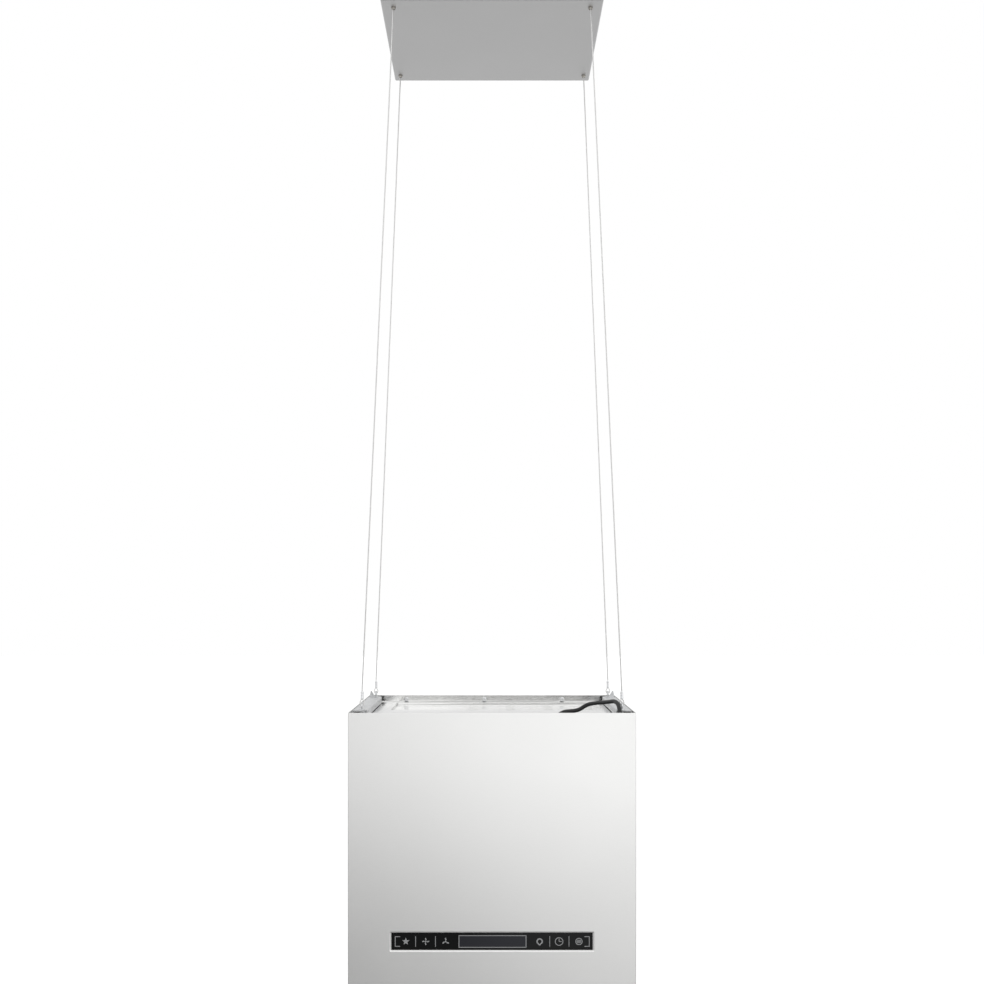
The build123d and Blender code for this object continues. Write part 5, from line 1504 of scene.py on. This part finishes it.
class HOOD_OT_stage(bpy.types.Operator):
    """Sets the camera, the pale floor, the soft lights, the white surroundings and the studio's cards."""

    bl_idname = "hood.stage"
    bl_label = "Stage"

    eye = (0.0, -1.756, -0.795)
    focal = 46.02
    # the photo's height and the pixel row of its horizon
    photo_size = 984
    horizon = 595.0
    floor_z = -2.35
    # corners of the studio that mirrors see
    room_low = Vector((-3.0, -2.3, -2.33))
    room_high = Vector((3.0, 2.6, 0.6))
    floor_card_z = -2.34

    def execute(self, context):
        scene = context.scene
        scene.view_settings.view_transform = "Standard"
        camera = bpy.data.cameras.new("camera")
        camera.lens = self.focal
        camera.sensor_width = 36.0
        camera.shift_y = (self.horizon - self.photo_size / 2) / self.photo_size
        camera.clip_end = 100.0
        holder = bpy.data.objects.new("camera", camera)
        holder.location = self.eye
        holder.rotation_euler = UPRIGHT
        scene.collection.objects.link(holder)
        scene.camera = holder
        self.floor()
        self.surroundings(scene)
        self.softbox("softbox_right", (2.2, -1.9, 0.6), 1.8, 30)
        self.softbox("softbox_left", (-2.2, -1.6, 0.4), 1.6, 18)
        self.softbox("softbox_back", (0.4, 2.4, 0.9), 1.8, 22)
        self.front_cards()
        self.other_cards()
        return {"FINISHED"}

    def softbox(self, name, at, width, power):
        """A soft light aimed at the hood, which neither the camera nor a mirror sees."""
        lamp = bpy.data.lights.new(name, "AREA")
        lamp.shape = "SQUARE"
        lamp.size = width
        lamp.energy = power
        holder = bpy.data.objects.new(name, lamp)
        holder.location = at
        holder.rotation_euler = (Vector((0, 0, -1)) - Vector(at)).to_track_quat("-Z", "Y").to_euler()
        holder.visible_camera = False
        holder.visible_glossy = False
        bpy.context.scene.collection.objects.link(holder)

    def card(self, name, low, high):
        """A card that only mirrors see, from corner to corner: flat, facing the front or facing a side."""
        card = primitive("plane", name, size=1.0)
        low, high = Vector(low), Vector(high)
        span = high - low
        turn = (0, 0, 0) if not span.z else (radians(90), 0, 0 if span.x else radians(90))
        card.scale = (span.x or span.y, span.z or span.y, 1)
        place(card, (low + high) / 2, turn)
        for kind in ("camera", "shadow", "diffuse", "transmission", "volume_scatter"):
            setattr(card, "visible_" + kind, False)
        card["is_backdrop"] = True
        material, tree, shader = new_material(name, (0, 0, 0), 0.0, 1.0, Specular_IOR_Level=0.0)
        shader.inputs["Emission Color"].default_value = (1, 1, 1, 1)
        card.data.materials.append(material)
        own = add_node(tree, "TexCoord")
        axes = add_node(tree, "SeparateXYZ", links={0: own.outputs["Object"]}).outputs
        return tree, shader.inputs["Emission Strength"], axes

    def step(self, tree, value, middle, width, low, high):
        """A soft step from one level to another."""
        return spread(
            tree, value, low, high, middle - width / 2, middle + width / 2, interpolation_type="SMOOTHSTEP"
        )

    def front_cards(self):
        """The studio in front, bright above, dimmer below and on the left, with the dark camera stand."""
        low, high = self.room_low, self.room_high
        tree, strength, axes = self.card("card_graded", low, (high.x, low.y, high.z))
        slant = calculate(tree, "MULTIPLY_ADD", axes[2], 0.378, axes[0])
        above = self.step(tree, axes[2], -1.557, 0.135, 0.378, 0.872)
        aside = self.step(tree, slant, -0.723, 0.033, 0.0, 0.531)
        tree.links.new(calculate(tree, "ADD", above, aside), strength)
        # the stand shows in the upright flange behind the outlet
        tree, strength, axes = self.card("card_camera_stand", (-0.11, -1.95, -0.85), (0.9, -1.95, -0.75))
        strength.default_value = 0.03

    def other_cards(self):
        """The studio's other walls, bright above and dim below, and its floor, lighter towards the back."""
        low, high, floor = self.room_low, self.room_high, self.floor_card_z
        sides = (-1.65, 1.4, 0.55, 0.98)
        for name, start, end, axis, levels in (
            ("card_floor", (low.x, low.y, floor), (high.x, high.y, floor), 1, (1.3, 2.2, 0.4, 0.62)),
            ("card_left", low, (low.x, high.y, high.z), 2, sides),
            ("card_right", (high.x, low.y, low.z), high, 2, sides),
            ("card_back", (low.x, high.y, low.z), high, 2, (-1.65, 1.4, 0.38, 0.85)),
        ):
            tree, strength, axes = self.card(name, start, end)
            tree.links.new(self.step(tree, axes[axis], *levels), strength)

    def floor(self):
        """Pale floor: where the camera or a mirror sees it, a little light of its own makes it white."""
        floor = primitive("plane", "floor", size=60.0, location=(0, 0, self.floor_z))
        material, tree, shader = new_material(
            "floor_pale_paint", linear("#E9E9E9"), 0.0, 0.95, Specular_IOR_Level=0.1
        )
        glow = calculate(tree, "MULTIPLY", self.seen(tree), 0.6)
        tree.links.new(glow, shader.inputs["Emission Strength"])
        shader.inputs["Emission Color"].default_value = (1, 1, 1, 1)
        floor.data.materials.append(material)
        floor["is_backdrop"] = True

    def seen(self, tree):
        """1 for rays from the camera, a mirror or glass, 0 for the light that falls on matt surfaces."""
        path = add_node(tree, "LightPath").outputs
        mirror = calculate(tree, "MAXIMUM", path["Is Camera Ray"], path["Is Glossy Ray"])
        return calculate(tree, "MAXIMUM", mirror, path["Is Transmission Ray"])

    def surroundings(self, scene):
        """White round about for the camera and mirrors, a little darker as a light."""
        world = bpy.data.worlds.new("white_surroundings")
        world.use_nodes = True
        tree = world.node_tree
        sky = tree.nodes["Background"]
        sky.inputs["Color"].default_value = (1, 1, 1, 1)
        tree.links.new(spread(tree, self.seen(tree), 0.62, 1.0), sky.inputs["Strength"])
        scene.world = world


OPERATORS = (
    HOOD_OT_finishes, HOOD_OT_shell, HOOD_OT_ceiling, HOOD_OT_cables, HOOD_OT_screws, HOOD_OT_top,
    HOOD_OT_bottom, HOOD_OT_lead, HOOD_OT_panel, HOOD_OT_filter, HOOD_OT_lamps, HOOD_OT_stage,
)


class HOOD_PT_sidebar(bpy.types.Panel):
    """Lists the hood's pieces and values in the sidebar."""

    bl_idname = "HOOD_PT_sidebar"
    bl_label = "Hanging range hood"
    bl_space_type = "VIEW_3D"
    bl_region_type = "UI"
    bl_category = "Hood"

    def draw(self, context):
        for operator in OPERATORS:
            self.layout.operator(operator.bl_idname)
        for group in (context.scene.hood_sizes, context.scene.hood_colours):
            box = self.layout.box()
            for name in group.bl_rna.properties.keys():
                if name not in ("rna_type", "name"):
                    box.prop(group, name)


CLASSES = (HoodSizes, HoodColours, *OPERATORS, HOOD_PT_sidebar)


def register():
    for cls in CLASSES:
        bpy.utils.register_class(cls)
    bpy.types.Scene.hood_sizes = PointerProperty(type=HoodSizes)
    bpy.types.Scene.hood_colours = PointerProperty(type=HoodColours)


def unregister():
    del bpy.types.Scene.hood_colours
    del bpy.types.Scene.hood_sizes
    for cls in reversed(CLASSES):
        bpy.utils.unregister_class(cls)


def main():
    """Registers the add-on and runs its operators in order."""
    register()
    for operator in OPERATORS:
        family, action = operator.bl_idname.split(".")
        getattr(getattr(bpy.ops, family), action)()
    clear_selection()
    corners = {"cad": FIRST_BOX, "visual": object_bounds()}
    {key: [list(corner) for corner in pair] for key, pair in corners.items()}


if __name__ == "__main__":
    main()
